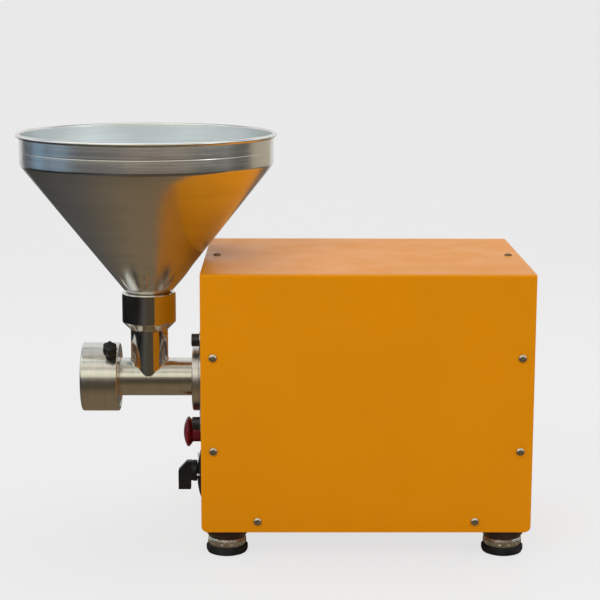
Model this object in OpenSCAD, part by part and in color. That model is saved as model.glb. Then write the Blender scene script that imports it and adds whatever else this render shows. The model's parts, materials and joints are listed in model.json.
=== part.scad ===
// Bench-top nut butter grinder: a sheet-metal motor casing on four feet, a horizontal
// feed barrel with a grinding head at its end, and a lift-off cone hopper above it.
// Millimetres. +Z is up, the grinding head points along -X.

/* [Casing] */
// Length of the casing, from the front panel to the rear panel
body_l = 320; // [300:1:400]
// Width of the casing over the side walls of the cover
body_w = 246; // [230:1:300]
// Height of the casing without its feet
body_h = 254; // [245:1:330]
// Thickness of the sheet metal of the cover and the base
sheet = 1.5; // [1:0.1:2]
// Thickness of the front and rear panels
panel_t = 2; // [1.5:0.1:3]
// Outside radius of the cover's long top bends
bend_r = 3; // [2.5:0.1:5]
// Corner radius at the bottom ends of the cover's side walls
corner_r = 6; // [3:0.5:9]
// Depth of the folded edges of the panels and the base
fold = 20; // [18:0.5:24]
// Height of the drive axis above the bottom of the casing
axis_h = 127.5; // [122:0.5:135]

/* [Casing screws] */
// Diameter of the casing screws
screw_d = 4; // [3:0.5:5]
// Head diameter of the casing screws
screw_head_d = 8; // [7:0.1:9]
// Length of the casing screws under the head
screw_l = 8; // [7:0.5:10]
// Distance of the side and top screws from the ends of the casing
screw_inset = 12; // [10:0.5:13]
// Distance of the lower and upper side screws from the bottom and top of the casing
screw_rise = 81; // [60:1:90]
// Distance of the base screws from the ends of the casing
base_screw_inset = 54.5; // [45:0.5:70]
// Height of the base screws above the bottom of the casing
base_screw_rise = 11; // [10:0.5:12]

/* [Vents] */
// Length of a ventilation slot
slot_l = 40; // [20:1:45]
// Height of a ventilation slot
slot_h = 4; // [3:0.5:5]
// Slots in each column
slot_rows = 7; // [3:1:8]

/* [Feet] */
// Height of the feet
foot_h = 28; // [26:0.5:34]
// Diameter of the rubber foot pad
foot_d = 41; // [38:0.5:43]
// Distance of the foot centres from the ends of the casing
foot_inset_x = 24; // [22:0.5:30]
// Distance of the foot centres from the sides of the casing
foot_inset_y = 28; // [25:0.5:34]
// Bolt diameter of the feet
foot_bolt_d = 8; // [6:0.5:10]

/* [Feed barrel] */
// Outside diameter of the feed barrel
barrel_d = 39; // [38.5:0.1:42]
// Bore of the feed barrel
barrel_bore = 33; // [31.5:0.1:34]
// Outside diameter of the upright feed tube
feed_d = 38; // [36:0.1:38.4]
// Bore of the upright feed tube
feed_bore = 31; // [26:0.1:31.4]
// Distance of the feed tube from the front panel
feed_x = 58; // [54:0.5:60]
// Height of the feed tube's top above the drive axis
feed_h = 49.8; // [45:0.1:60]

/* [Mounting flange] */
// Diameter of the flange hub
hub_d = 70; // [66:0.5:72]
// Distance of the hub's face from the front panel
hub_reach = 13.4; // [12:0.1:16]
// Thickness of the three-eared foot of the flange
ear_t = 5.5; // [5:0.1:6]
// Diameter of the circle of flange screws
flange_pcd = 100; // [96:0.5:102]
// Diameter of the flange screws
flange_screw_d = 8; // [6:0.5:8]

/* [Grinding head] */
// Outside diameter of the head cap
head_d = 70.4; // [69:0.1:76]
// Distance of the head's open end from the front panel
head_front = 126.4; // [125:0.1:132]
// Distance of the head's back from the front panel
head_back = 88.6; // [87.4:0.1:90]
// Diameter of the threaded nose that the cap turns on
nose_d = 60; // [58:0.1:62]
// Diameter of the outlet in the cap
outlet_d = 30; // [26:0.5:34]
// Gap between the two grinding burrs
burr_gap = 0.6; // [0.4:0.1:1]

/* [Lock knob] */
// Lean of the lock knob from the vertical
knob_lean = 45; // [30:1:60]
// Width of the knob's six-sided grip over its corners
knob_d = 15; // [12:0.5:18]
// Height of the knob over its foot, neck and grip
knob_h = 22; // [18:0.5:26]

/* [Hopper] */
// Outside diameter of the hopper's straight band
band_d = 254.4; // [234:0.2:280]
// Height of the straight band
band_h = 29; // [20:0.5:45]
// Thickness of the rolled rim
bead_d = 4.4; // [4:0.1:7]
// Wall of the hopper
hopper_wall = 1; // [0.8:0.1:1.5]
// Half angle of the hopper cone
cone_angle = 38.4; // [34:0.1:42]
// Outside diameter of the hopper's spigot
spigot_d = 40; // [38:0.5:42]
// How far the spigot reaches down into the socket
spigot_l = 22; // [16:0.5:23]

/* [Hopper socket] */
// Outside diameter of the socket
socket_d = 54.7; // [52:0.1:58]
// Height of the socket's straight wall
socket_h = 30.7; // [28:0.1:36]

/* [Emergency stop] */
// Height of the stop button above the bottom of the casing
stop_h = 69.2; // [68:0.1:72]
// Diameter of the stop button's mushroom
stop_d = 31; // [28:0.5:32]
// Reach of the stop button from the front panel
stop_reach = 23.6; // [22:0.1:28]
// Travel of the stop button
stop_travel = 4; // [3:0.5:5]

/* [Rotary switch] */
// Height of the switch above the bottom of the casing
switch_h = 27.6; // [27:0.1:30]
// Width of the square switch plate
plate_w = 48; // [44:0.5:50]
// Reach of the switch handle from the front panel
handle_reach = 29.5; // [26:0.1:34]

/* [Drive] */
// Shaft diameter at the bearings
shaft_d = 20; // [18:0.5:20]
// Outside diameter of the ball bearings
bearing_d = 42; // [40:0.5:44]
// Width of a ball bearing
bearing_w = 12; // [10:0.5:14]
// Ball diameter
ball_d = 6.4; // [5:0.1:6.6]
// Balls in one bearing
balls = 9; // [6:1:9]
// Pitch of the auger
auger_pitch = 26; // [20:1:34]

/* [Motor] */
// Diameter over the motor's cooling ribs
motor_d = 132; // [126:1:140]
// Length of the motor frame between the end bells
motor_l = 108; // [96:1:116]
// Cooling ribs round the motor frame
ribs = 28; // [12:1:36]
// Diameter of the cooling fan
fan_d = 104; // [80:1:110]
// Blades of the cooling fan
fan_blades = 9; // [5:1:12]

/* [Fits] */
// Radial clearance of a running fit
run_gap = 0.05; // [0.02:0.01:0.1]
// Radial clearance of a bolt in its hole, and of fixed round pieces
hole_gap = 0.2; // [0.1:0.05:0.3]
// Clearance between parts that move past each other
move_gap = 0.4; // [0.3:0.1:0.6]

/* [Hidden] */

$fn = 96;
// Small overshoot of a cutting solid past the face that it cuts
cut = 1;

// Heights, from the surface that the feet stand on
base_z = foot_h;
top_z = base_z + body_h;
axis_z = base_z + axis_h;
floor_z = base_z + sheet;

// Inside of the cover
inner_w = body_w - 2 * sheet;
inner_top = top_z - sheet;

// Casing screws and the nuts behind them
screw_hole_r = screw_d / 2 + hole_gap;
screw_head_h = screw_head_d * 0.32;
top_screw_head_h = screw_head_h * 0.7;
clinch_r = screw_d * 0.95;
clinch_t = screw_d * 0.7;
side_screw_z = [base_z + screw_rise, top_z - screw_rise];
base_screw_z = base_z + base_screw_rise;
screw_end_x = [screw_inset, body_l - screw_inset];
base_screw_x = [base_screw_inset, body_l - base_screw_inset];
side_screw_at = concat(
  [for (x = screw_end_x, z = side_screw_z) [x, z]],
  [for (x = base_screw_x) [x, base_screw_z]]);

// Feet, from the pad up
foot_x = [foot_inset_x, body_l - foot_inset_x];
foot_y = [-body_w / 2 + foot_inset_y, body_w / 2 - foot_inset_y];
pad_top = foot_h * 0.31;
ring_top = foot_h * 0.61;
ring_d = foot_d * 0.92;
collar_top_d = foot_d * 1.07;
collar_foot_d = foot_d * 0.9;
bolt_head_d = foot_bolt_d * 1.75;
bolt_head_z = foot_h * 0.11;
bolt_head_h = foot_bolt_d * 0.62;
foot_nut_h = foot_bolt_d * 0.8;
ring_notches = 12;
notch_depth = 1.6;
notch_half_w = 1.7;
thread_end = 3;

// Mounting flange
flange_screw_turn = [30, 150, 270];
flange_screw_head_d = flange_screw_d * 1.625;
hub_seat = 6;
ear_r = flange_screw_head_d / 2 + 3;
ear_web = ear_r * 0.94;
seal_r = 16;
panel_bore_r = seal_r + 2;
flange_land_r = hub_d / 2 + 3;
grub_r = 2;
grub_turn = 120;
small_screw_r = 1.5;

// Grinding head, x measured from the front panel towards -X
barrel_r = barrel_d / 2;
cap_r = head_d / 2;
nose_r = nose_d / 2;
burr_space_l = 22.4;
nose_front = head_front - burr_space_l;
nose_back = head_back + 0.5;
cap_wall_t = 4;
cap_wall_front = head_front - cap_wall_t;
chamber_r = nose_r - 1;
fixed_burr_t = 6;
fixed_burr_x = cap_wall_front - fixed_burr_t;
turning_burr_x = fixed_burr_x - burr_gap;
turning_burr_t = 8.8;
turning_burr_r = chamber_r - 3;
burr_nut_r = 7;
burr_hub_r = 6;
burr_stud_r = 4;
burr_holes = 6;
burr_hole_r = 3.6;
groove_count = 12;
groove_half_w = 0.9;
groove_depth = 1.6;
groove_sweep = 14;
burr_screw_head_r = 2.8;
burr_screw_head_h = 2.2;

// Lock knob, radii from the drive axis
knob_x = head_back + 6.4;
lock_screw_r = 3;
knob_foot_r = cap_r + move_gap;
knob_foot_top = knob_foot_r + knob_h * 0.18;
knob_neck_top = knob_foot_r + knob_h * 0.42;
knob_top = knob_foot_r + knob_h;

// Hopper
socket_foot_z = axis_z + feed_h;
socket_r = socket_d / 2;
feed_r = feed_d / 2;
socket_wall_z = socket_foot_z + socket_r - feed_r;
socket_top_z = socket_wall_z + socket_h;
socket_bore_r = spigot_d / 2 + hole_gap;
socket_lip_w = 3.6;
socket_lip_r = socket_r - socket_lip_w;
cone_slope = tan(cone_angle);
seat_z = socket_top_z - (socket_lip_r - socket_bore_r) / cone_slope;
spigot_r = spigot_d / 2;
band_r = band_d / 2;
bead_r = bead_d / 2;
rim_r = band_r - hopper_wall + bead_d;
cone_foot_z = seat_z + move_gap;
band_foot_z = cone_foot_z + (band_r - spigot_r) / cone_slope;
bead_z = band_foot_z + band_h;
bead_hollow_r = bead_r - hopper_wall - run_gap;
wire_r = bead_hollow_r - run_gap;

// Stop button
stop_z = base_z + stop_h;
stop_r = stop_d / 2;
stop_hole_r = 11;
stop_neck_r = 10.5;
stop_stem_r = 8;
stop_collar_t = 5;
stop_rim_x = stop_reach - 5.2;
stop_barrel_l = 20;
stop_block_l = 46;
stop_block_half_w = 14;
stop_core_r = stop_stem_r * 0.6;

// Rotary switch
switch_z = base_z + switch_h;
plate_t = 9.8;
plate_dome_r = 130;
handle_hub_r = 11;
handle_up = 11.5;
handle_down = 19.4;
handle_w = 9;
switch_shaft_r = 3;
switch_block_w = 42;
switch_block_l = 46;
switch_shaft_end = 20;
wafer_x = [14, 26, 38];
wafer_groove = 1.6;
handle_foot_x = plate_t + 6.6;
handle_back_x = plate_t + 5;

// Drive train
shaft_r = shaft_d / 2;
bearing_r = bearing_d / 2;
ball_r = ball_d / 2;
ball_circle_r = (shaft_r + bearing_r) / 2;
ball_land = ball_r * 0.42;
ball_gap = 0.06;
housing_x = panel_t;
bearing_1_x = housing_x + 10;
bearing_2_x = bearing_1_x + bearing_w + 18;
housing_end = bearing_2_x + bearing_w + 3;
housing_r = bearing_r + 8;
housing_ear_t = 12;
coupling_bore_r = shaft_r * 0.8;
motor_seat_r = shaft_r * 0.9;
fan_seat_r = shaft_r * 0.6;
shaft_end = housing_end + 24;
tang_r = shaft_r * 0.6;
tang_l = 24;
shaft_front = 20;
coupling_r = 22;
coupling_hub_l = 18;
coupling_gap = 12;
hub_1_x = shaft_end - coupling_hub_l;
hub_2_x = shaft_end + coupling_gap;
coupling_jaws = 3;
key_w = 5;

// Auger
auger_r = barrel_bore / 2 - move_gap;
auger_core_r = shaft_r + 0.5;
auger_back = shaft_front + hole_gap;
flight_width = 60;

// Motor
motor_stand_off = 4;
motor_x = hub_2_x + coupling_hub_l + motor_stand_off;
bell_t = 14;
bell_wall = 2;
winding_l = 11;
motor_r = motor_d / 2;
frame_r = motor_r - 7;
frame_bore_r = frame_r - 5;
frame_x = motor_x + bell_t;
frame_end = frame_x + motor_l;
motor_end = frame_end + bell_t;
core_inset = 16;
core_x = frame_x + core_inset;
core_end = frame_end - core_inset;
rotor_r = frame_bore_r * 0.62;
stator_r = rotor_r + 0.6;
winding_r = frame_bore_r - 3;
fan_stand_off = 5;
fan_x = motor_end + fan_stand_off;
fan_w = 11;
fan_r = fan_d / 2;
fan_cover_room = 6;
fan_cover_end = fan_x + fan_w + fan_cover_room;
fan_slot_rings = [14, 24, 34, 44];
motor_shaft_end = fan_x + fan_w + 1;
cradle_inset = 12;
cradle_x = [frame_x + cradle_inset, frame_end - cradle_inset];
cradle_t = 3;
cradle_foot = 10;
strap_half_w = 6;
strap_t = 2.5;
cradle_w = motor_d * 0.74;
cradle_top = axis_z - motor_r * 0.35;

// Capacitor
cap_can_r = 18;
cap_can_l = 70;
cap_tag_x = 6;
cap_tag_w = 6;
cap_x = frame_x + motor_l / 2;
cap_y = inner_w / 2 - cap_can_r - fold * 0.5;

// Power inlet
inlet_y = -inner_w / 2 + 52;
inlet_z = base_z + 45;
inlet_w = 27;
inlet_hi = 19.6;
inlet_flange_w = 50;
inlet_flange_h = 23;
inlet_flange_t = 2.5;
inlet_depth = 22;
inlet_screw_pitch = 40;
inlet_wall = [1.3, 1.6];
inlet_floor = 3;
pin_half = [1, 2];
pin_places = [[-7, -1.5], [0, 2.5], [7, -1.5]];

// The part's origin is under the middle of its outline
x_low = -feed_x - rim_r;
x_high = body_l + inlet_flange_t + screw_head_h;
shift_x = -(x_low + x_high) / 2;

/* ---- helpers ---- */

// Puts a node into the part's frame
module placed() translate([shift_x, 0, 0]) children();

// Cylinder along X from x0 to x1, about the line y, z
module xcyl(r, x0, x1, y = 0, z = axis_z)
  translate([x0, y, z]) rotate([0, 90, 0]) cylinder(r = r, h = x1 - x0);

// Ring along X
module xring(ro, ri, x0, x1, y = 0, z = axis_z)
  difference() {
    xcyl(ro, x0, x1, y, z);
    xcyl(ri, x0 - cut, x1 + cut, y, z);
  }

// Cylinder and ring along Z
module zcyl(r, z0, z1) translate([0, 0, z0]) cylinder(r = r, h = z1 - z0);
module zring(ro, ri, z0, z1)
  difference() {
    zcyl(ro, z0, z1);
    zcyl(ri, z0 - cut, z1 + cut);
  }

// Box from its low corner to its high corner
module block(low, high) translate(low) cube(high - low);

// Solid of revolution about the drive axis, its outline drawn as [x, radius]
module turned(outline)
  translate([0, 0, axis_z]) rotate([0, 90, 0]) rotate_extrude()
    polygon([for (p = outline) [p[1], p[0]]]);

// Pan head screw with a cross recess, seated at the origin, head along +Z
module pan_screw(d, head_d, length, head_h)
  difference() {
    union() {
      zcyl(head_d / 2, 0, head_h * 0.5);
      translate([0, 0, head_h * 0.5])
        cylinder(r1 = head_d / 2, r2 = head_d * 0.32, h = head_h * 0.5);
      zcyl(d / 2, -length, head_h * 0.25);
    }
    for (turn = [0, 90])
      rotate([0, 0, turn])
        block([-head_d * 0.27, -d * 0.12, head_h * 0.45], [head_d * 0.27, d * 0.12, head_h + cut]);
  }

// Every side screw place; +Z of the children points out of the casing wall
module at_side_screws()
  for (side = [-1, 1], p = side_screw_at)
    translate([p[0], side * body_w / 2, p[1]]) rotate([-90 * side, 0, 0]) children();

// Both top screw places
module at_top_screws()
  for (x = screw_end_x) translate([x, 0, top_z]) children();

module at_feet()
  for (x = foot_x, y = foot_y) translate([x, y, 0]) children();

module at_flange_screws()
  for (turn = flange_screw_turn)
    translate([0, 0, axis_z]) rotate([turn, 0, 0]) translate([0, 0, flange_pcd / 2]) children();

// Columns of ventilation slots in the XY plane, cutting along Z
module slot_field(columns, pitch)
  for (c = [0 : columns - 1], r = [0 : slot_rows - 1])
    translate([(c - (columns - 1) / 2) * (slot_l + 8), (r - (slot_rows - 1) / 2) * pitch, 0])
      union() {
        cube([slot_l - slot_h, slot_h, 4 * panel_t], center = true);
        for (end = [-1, 1])
          translate([end * (slot_l - slot_h) / 2, 0, 0])
            cylinder(d = slot_h, h = 4 * panel_t, center = true, $fn = 32);
      }

// Ball bearing places, as the x of each bearing's near face
bearing_xs = [bearing_1_x, bearing_2_x, motor_x + bell_wall, frame_end + 1];

/* ---- casing ---- */

// Cross-section of the cover in the YZ plane, down to height z0, inset all round by i
module cover_section(i, z0) {
  half = body_w / 2 - i;
  r = max(bend_r - i, 0.5);
  top = top_z - i;
  translate([-half, z0]) square([2 * half, top - r - z0]);
  translate([-half + r, z0]) square([2 * (half - r), top - z0]);
  for (s = [-1, 1]) translate([s * (half - r), top - r]) circle(r);
}

// Prism along X of a YZ outline
module along_x(x0, x1)
  translate([x0, 0, 0]) rotate([90, 0, 90]) linear_extrude(x1 - x0) children();

// What is cut away below the casing's rounded lower ends, right across it
module lower_rounding()
  for (end = [0, 1])
    translate([end * body_l, 0, base_z]) mirror([end, 0, 0]) difference() {
      block([-cut, -body_w, -cut], [corner_r, body_w, corner_r]);
      translate([corner_r, body_w + cut, corner_r]) rotate([90, 0, 0])
        cylinder(r = corner_r, h = 2 * body_w + 2 * cut);
    }

module cover() color("orange") difference() {
  along_x(0, body_l) cover_section(0, base_z);
  along_x(-cut, body_l + cut) cover_section(sheet, base_z - cut);
  lower_rounding();
  at_side_screws() zcyl(screw_hole_r, -sheet - cut, cut);
  at_top_screws() zcyl(screw_hole_r, -sheet - cut, cut);
}

// Panel with folded edges all round, its face at x = 0 and its edges towards +X
module panel_tray() difference() {
  along_x(0, fold) tray_section(0);
  along_x(panel_t, fold + cut) tray_section(panel_t);
  lower_rounding();
  at_side_screws() zcyl(screw_hole_r, -sheet - panel_t - cut, cut);
  at_top_screws() zcyl(screw_hole_r, -sheet - panel_t - cut, cut);
  at_feet() zcyl(bolt_head_d / 2 + move_gap, floor_z - cut, floor_z + panel_t + cut);
}

module tray_section(i) {
  half = inner_w / 2 - i;
  r = bend_r;
  top = inner_top - i;
  low = floor_z + i;
  translate([-half, low]) square([2 * half, top - r - low]);
  translate([-half + r, low]) square([2 * (half - r), top - low]);
  for (s = [-1, 1]) translate([s * (half - r), top - r]) circle(r);
}

module front_panel() color("orange") difference() {
  panel_tray();
  xcyl(panel_bore_r, -cut, panel_t + cut);
  at_flange_screws() xcyl(flange_screw_d / 2 + hole_gap, -cut, panel_t + cut, 0, 0);
  xcyl(stop_hole_r + hole_gap, -cut, panel_t + cut, 0, stop_z);
  xcyl(switch_shaft_r + 2, -cut, panel_t + cut, 0, switch_z);
}

module rear_panel() color("orange") difference() {
  translate([body_l, 0, 0]) mirror([1, 0, 0]) panel_tray();
  translate([body_l - panel_t / 2, 0, axis_z + 8]) rotate([90, 0, 90]) slot_field(3, 13);
  block([body_l - panel_t - cut, inlet_y - inlet_w / 2 - hole_gap, inlet_z - inlet_hi / 2 - hole_gap],
    [body_l + cut, inlet_y + inlet_w / 2 + hole_gap, inlet_z + inlet_hi / 2 + hole_gap]);
  at_inlet_screws() xcyl(small_screw_r + hole_gap, -panel_t - cut, cut, 0, 0);
}

module base_plate() color("orange") difference() {
  union() {
    block([0, -inner_w / 2, base_z], [body_l, inner_w / 2, floor_z]);
    for (s = [-1, 1])
      translate([0, s * (inner_w - sheet) / 2, 0])
        block([fold + 2, -sheet / 2, floor_z], [body_l - fold - 2, sheet / 2, floor_z + fold]);
  }
  at_side_screws() zcyl(screw_hole_r, -2 * sheet - cut, cut);
  at_feet() zcyl(foot_bolt_d / 2 + hole_gap, base_z - cut, floor_z + cut);
  lower_rounding();
  translate([(cradle_x[0] + cradle_x[1]) / 2, 0, base_z + sheet / 2]) slot_field(1, 12);
}

module cover_screws() color("silver")
  at_side_screws() pan_screw(screw_d, screw_head_d, screw_l, screw_head_h);

module top_screws() color("dimgray")
  at_top_screws() pan_screw(screw_d, screw_head_d, screw_l, top_screw_head_h);

module clinch_nuts() color("silver") {
  for (side = [-1, 1], p = side_screw_at)
    translate([p[0], side * body_w / 2, p[1]]) rotate([-90 * side, 0, 0])
      clinch_nut(p[1] == base_screw_z ? 2 * sheet : sheet + panel_t);
  at_top_screws() clinch_nut(sheet + panel_t);
}

module clinch_nut(depth) zring(clinch_r, screw_d / 2 + run_gap, -depth - clinch_t, -depth);

/* ---- feet ---- */

module foot_pads() color([0.08, 0.08, 0.08]) at_feet() difference() {
  rotate_extrude() polygon([[0, 0], [foot_d * 0.4, 0], [foot_d * 0.47, foot_h * 0.04],
    [foot_d / 2, foot_h * 0.2], [foot_d / 2, pad_top - 1], [foot_d / 2 - 1.5, pad_top], [0, pad_top]]);
  zcyl(bolt_head_d / 2 + hole_gap, -cut, bolt_head_z + bolt_head_h);
  zcyl(foot_bolt_d / 2 + hole_gap, 0, pad_top + cut);
}

module foot_rings() color("silver") at_feet() difference() {
  zcyl(ring_d / 2, pad_top, ring_top);
  zcyl(foot_bolt_d / 2 + hole_gap, pad_top - cut, ring_top + cut);
  for (i = [0 : ring_notches - 1])
    rotate([0, 0, (i + 0.5) * 360 / ring_notches])
      block([ring_d / 2 - notch_depth, -notch_half_w, pad_top + 2],
        [ring_d / 2 + cut, notch_half_w, ring_top - 2.6]);
}

module foot_collars() color([0.15, 0.08, 0.06]) at_feet() difference() {
  translate([0, 0, ring_top])
    cylinder(d1 = collar_foot_d, d2 = collar_top_d, h = base_z - ring_top);
  zcyl(foot_bolt_d / 2 + hole_gap, ring_top - cut, base_z + cut);
}

module foot_bolts() color("silver") at_feet() union() {
  translate([0, 0, bolt_head_z]) cylinder(d = bolt_head_d, h = bolt_head_h, $fn = 6);
  zcyl(foot_bolt_d / 2, bolt_head_z, floor_z + foot_nut_h + thread_end);
}

module foot_nuts() color("silver") at_feet() difference() {
  translate([0, 0, floor_z]) cylinder(d = bolt_head_d, h = foot_nut_h, $fn = 6);
  zcyl(foot_bolt_d / 2 + run_gap, floor_z - cut, floor_z + foot_nut_h + cut);
}

/* ---- barrel, flange and feed ---- */

module mounting_flange() color("silver") difference() {
  union() {
    turned([[-hub_reach, 0], [-hub_reach, hub_d / 2 - 1], [-hub_reach + 1, hub_d / 2],
      [-ear_t, hub_d / 2], [-ear_t, flange_land_r], [0, flange_land_r], [0, 0]]);
    at_flange_screws() union() {
      xcyl(ear_r, -ear_t, 0, 0, 0);
      block([-ear_t, -ear_web, -flange_pcd / 2 + seal_r + 4], [0, ear_web, 0]);
    }
  }
  xcyl(barrel_r + hole_gap / 2, -hub_reach - cut, -hub_seat);
  xcyl(seal_r + hole_gap / 2, -hub_seat - cut, cut);
  at_flange_screws() xcyl(flange_screw_d / 2 + hole_gap, -ear_t - cut, cut, 0, 0);
}

module flange_screws() color("dimgray") at_flange_screws() difference() {
  union() {
    xcyl(flange_screw_head_d / 2, -ear_t - flange_screw_d, -ear_t, 0, 0);
    xcyl(flange_screw_d / 2, -ear_t - cut, housing_x + housing_ear_t, 0, 0);
  }
  translate([-ear_t - flange_screw_d - cut, 0, 0]) rotate([0, 90, 0])
    cylinder(d = flange_screw_d * 0.87, h = flange_screw_d * 0.55 + cut, $fn = 6);
}

module barrel_tube() color("silver") difference() {
  xcyl(barrel_r, -nose_front, -hub_seat);
  xcyl(barrel_bore / 2, -nose_front - cut, -hub_seat + cut);
  translate([-feed_x, 0, 0]) zcyl(feed_bore / 2, axis_z, axis_z + feed_h);
  grub_place() xcyl(grub_r + hole_gap, -6, 6, 0, 0);
}

module barrel_nose() color("silver")
  xring(nose_r, barrel_r + hole_gap / 2, -nose_front, -nose_back);

module feed_tube() color("silver") difference() {
  translate([-feed_x, 0, 0]) zcyl(feed_r, axis_z, socket_foot_z);
  translate([-feed_x, 0, 0]) zcyl(feed_bore / 2, axis_z - cut, socket_foot_z + cut);
  xcyl(barrel_r + run_gap, -feed_x - feed_d, -feed_x + feed_d);
}

module hopper_socket() color("silver") translate([-feed_x, 0, 0]) difference() {
  union() {
    translate([0, 0, socket_foot_z])
      cylinder(r1 = feed_r, r2 = socket_r, h = socket_wall_z - socket_foot_z);
    zcyl(socket_r, socket_wall_z, socket_top_z - 1);
    translate([0, 0, socket_top_z - 1]) cylinder(r1 = socket_r, r2 = socket_r - 0.8, h = 1);
  }
  zcyl(feed_bore / 2, socket_foot_z - cut, socket_top_z);
  zcyl(socket_bore_r, seat_z - spigot_l - 1, socket_top_z);
  translate([0, 0, seat_z])
    cylinder(r1 = socket_bore_r, r2 = socket_lip_r + cone_slope, h = socket_top_z - seat_z + 1);
}

// Grub screw that holds the barrel in its hub, low on the near side
module grub_place()
  translate([-hub_reach - 3, 0, axis_z]) rotate([grub_turn, 0, 0]) translate([0, 0, barrel_r])
    rotate([0, -90, 0]) children();

module barrel_grub_screw() color("white") grub_place() difference() {
  xcyl(grub_r, -2.4, 1.6, 0, 0);
  translate([0.6, 0, 0]) rotate([0, 90, 0]) cylinder(d = grub_r * 1.1, h = 1 + cut, $fn = 6);
}

/* ---- grinding head ---- */

module head_cap() color("silver") difference() {
  turned([[-head_front, 0], [-head_front, cap_r - 1.2], [-head_front + 1.2, cap_r],
    [-head_back - 1.2, cap_r], [-head_back, cap_r - 1.2], [-head_back, 0]]);
  xcyl(nose_r + run_gap, -nose_front - 1, -head_back + cut);
  xcyl(chamber_r, -cap_wall_front, -nose_front);
  xcyl(outlet_d / 2, -head_front - cut, -cap_wall_front + cut);
  at_lock_knob() zcyl(lock_screw_r + run_gap, nose_r - 2, cap_r + 2);
  at_burr_screws() {
    xcyl(burr_screw_head_r + hole_gap, -head_front - cut, -head_front + burr_screw_head_h, 0, 0);
    xcyl(small_screw_r + hole_gap, -head_front, -cap_wall_front + cut, 0, 0);
  }
}

module stationary_burr() color("gray") difference() {
  xcyl(chamber_r - hole_gap, -cap_wall_front, -fixed_burr_x);
  xcyl(outlet_d / 2, -cap_wall_front - cut, -fixed_burr_x + cut);
  at_burr_screws() xcyl(small_screw_r + run_gap, -cap_wall_front - cut, -fixed_burr_x - 1.2, 0, 0);
  burr_grooves(-fixed_burr_x - groove_depth / 2, chamber_r + cut);
}

// Radial grooves in the working face of a burr
module burr_grooves(x, r)
  translate([x, 0, axis_z]) for (i = [0 : groove_count - 1])
    rotate([(i + 0.5) * 360 / groove_count + groove_sweep, 0, 0])
      block([0, -groove_half_w, outlet_d / 2 + 2], [groove_depth, groove_half_w, r]);

module at_burr_screws()
  for (i = [0 : 2]) translate([0, 0, axis_z]) rotate([i * 120, 0, 0])
    translate([0, 0, (outlet_d / 2 + chamber_r) / 2]) children();

module burr_screws() color("silver") at_burr_screws() difference() {
  union() {
    xcyl(burr_screw_head_r, -head_front + 0.3, -head_front + burr_screw_head_h, 0, 0);
    xcyl(small_screw_r, -head_front + 1, -fixed_burr_x - 1.4, 0, 0);
  }
  translate([-head_front + 0.3 - cut, 0, 0]) rotate([0, 90, 0])
    cylinder(d = burr_screw_head_r, h = cut + 1, $fn = 6);
}

module rotating_burr() color("gray") difference() {
  xcyl(turning_burr_r, -turning_burr_x, -turning_burr_x + turning_burr_t);
  xcyl(burr_hub_r + run_gap, -turning_burr_x - cut, -turning_burr_x + turning_burr_t + cut);
  for (i = [0 : burr_holes - 1]) translate([0, 0, axis_z]) rotate([i * 360 / burr_holes, 0, 0])
    xcyl(burr_hole_r, -turning_burr_x - cut, -turning_burr_x + turning_burr_t + cut, 0, turning_burr_r);
  burr_grooves(-turning_burr_x - groove_depth / 2, turning_burr_r - 3);
}

module burr_nut() color("silver") difference() {
  turned([[-head_front + 2, 0], [-head_front + 2, 2.5], [-turning_burr_x - 3, burr_nut_r],
    [-turning_burr_x, burr_nut_r], [-turning_burr_x, 0]]);
  xcyl(burr_stud_r + run_gap, -turning_burr_x - 5, -turning_burr_x + cut);
}

module auger() color("silver") difference() {
  union() {
    xcyl(auger_core_r, -nose_front, -auger_back);
    xcyl(burr_hub_r, -turning_burr_x, -nose_front + cut);
    xcyl(auger_core_r * 0.8, -turning_burr_x + turning_burr_t, -nose_front + cut);
    xcyl(burr_stud_r, -turning_burr_x - 4.6, -turning_burr_x + cut);
    translate([-nose_front, 0, axis_z]) rotate([0, 90, 0]) auger_flight(nose_front - shaft_front - 4);
  }
  translate([-shaft_front - tang_l - 1, 0, axis_z]) rotate([0, 90, 0])
    cylinder(r = tang_r + hole_gap, h = tang_l + cut + 5, $fn = 6);
}

// One helical flight along +Z, drawn as a twisted sector
module auger_flight(length)
  linear_extrude(length, twist = 360 * length / auger_pitch, slices = 44, segments = 1)
    polygon(concat(
      [for (a = [0, flight_width]) (auger_core_r - 1.5) * [cos(a), sin(a)]],
      [for (a = [flight_width : -flight_width / 3 : 0]) auger_r * [cos(a), sin(a)]]));

/* ---- lock knob ---- */

// +Z of the children runs outward from the drive axis along the knob
module at_lock_knob()
  translate([-knob_x, 0, axis_z]) rotate([knob_lean, 0, 0]) children();

module lock_knob() color([0.05, 0.05, 0.05]) at_lock_knob() difference() {
  union() {
    zcyl(knob_d * 0.37, knob_foot_r, knob_foot_top);
    zcyl(knob_d * 0.25, knob_foot_top, knob_neck_top + 1);
    translate([0, 0, knob_neck_top])
      cylinder(d = knob_d, h = knob_top - knob_neck_top - 1.5, $fn = 6);
    translate([0, 0, knob_top - 1.5]) cylinder(d = knob_d * 0.72, h = 1.5, $fn = 6);
  }
  zcyl(lock_screw_r + run_gap, knob_foot_r - cut, knob_top - 4);
}

module lock_screw() color("silver") at_lock_knob()
  zcyl(lock_screw_r, nose_r + run_gap * 2, knob_top - 5);

/* ---- hopper ---- */

module hopper_bowl() color("silver") translate([-feed_x, 0, 0]) difference() {
  rotate_extrude() union() {
    polygon([[spigot_r, cone_foot_z], [band_r, band_foot_z], [band_r, bead_z],
      [band_r - hopper_wall, bead_z], [band_r - hopper_wall, band_foot_z],
      [spigot_r - hopper_wall, cone_foot_z]]);
    translate([rim_r - bead_r, bead_z]) circle(bead_r);
  }
  rotate_extrude() translate([rim_r - bead_r, bead_z]) circle(bead_hollow_r);
}

module rim_wire() color("gray") translate([-feed_x, 0, bead_z])
  rotate_extrude() translate([rim_r - bead_r, 0]) circle(wire_r, $fn = 32);

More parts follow.
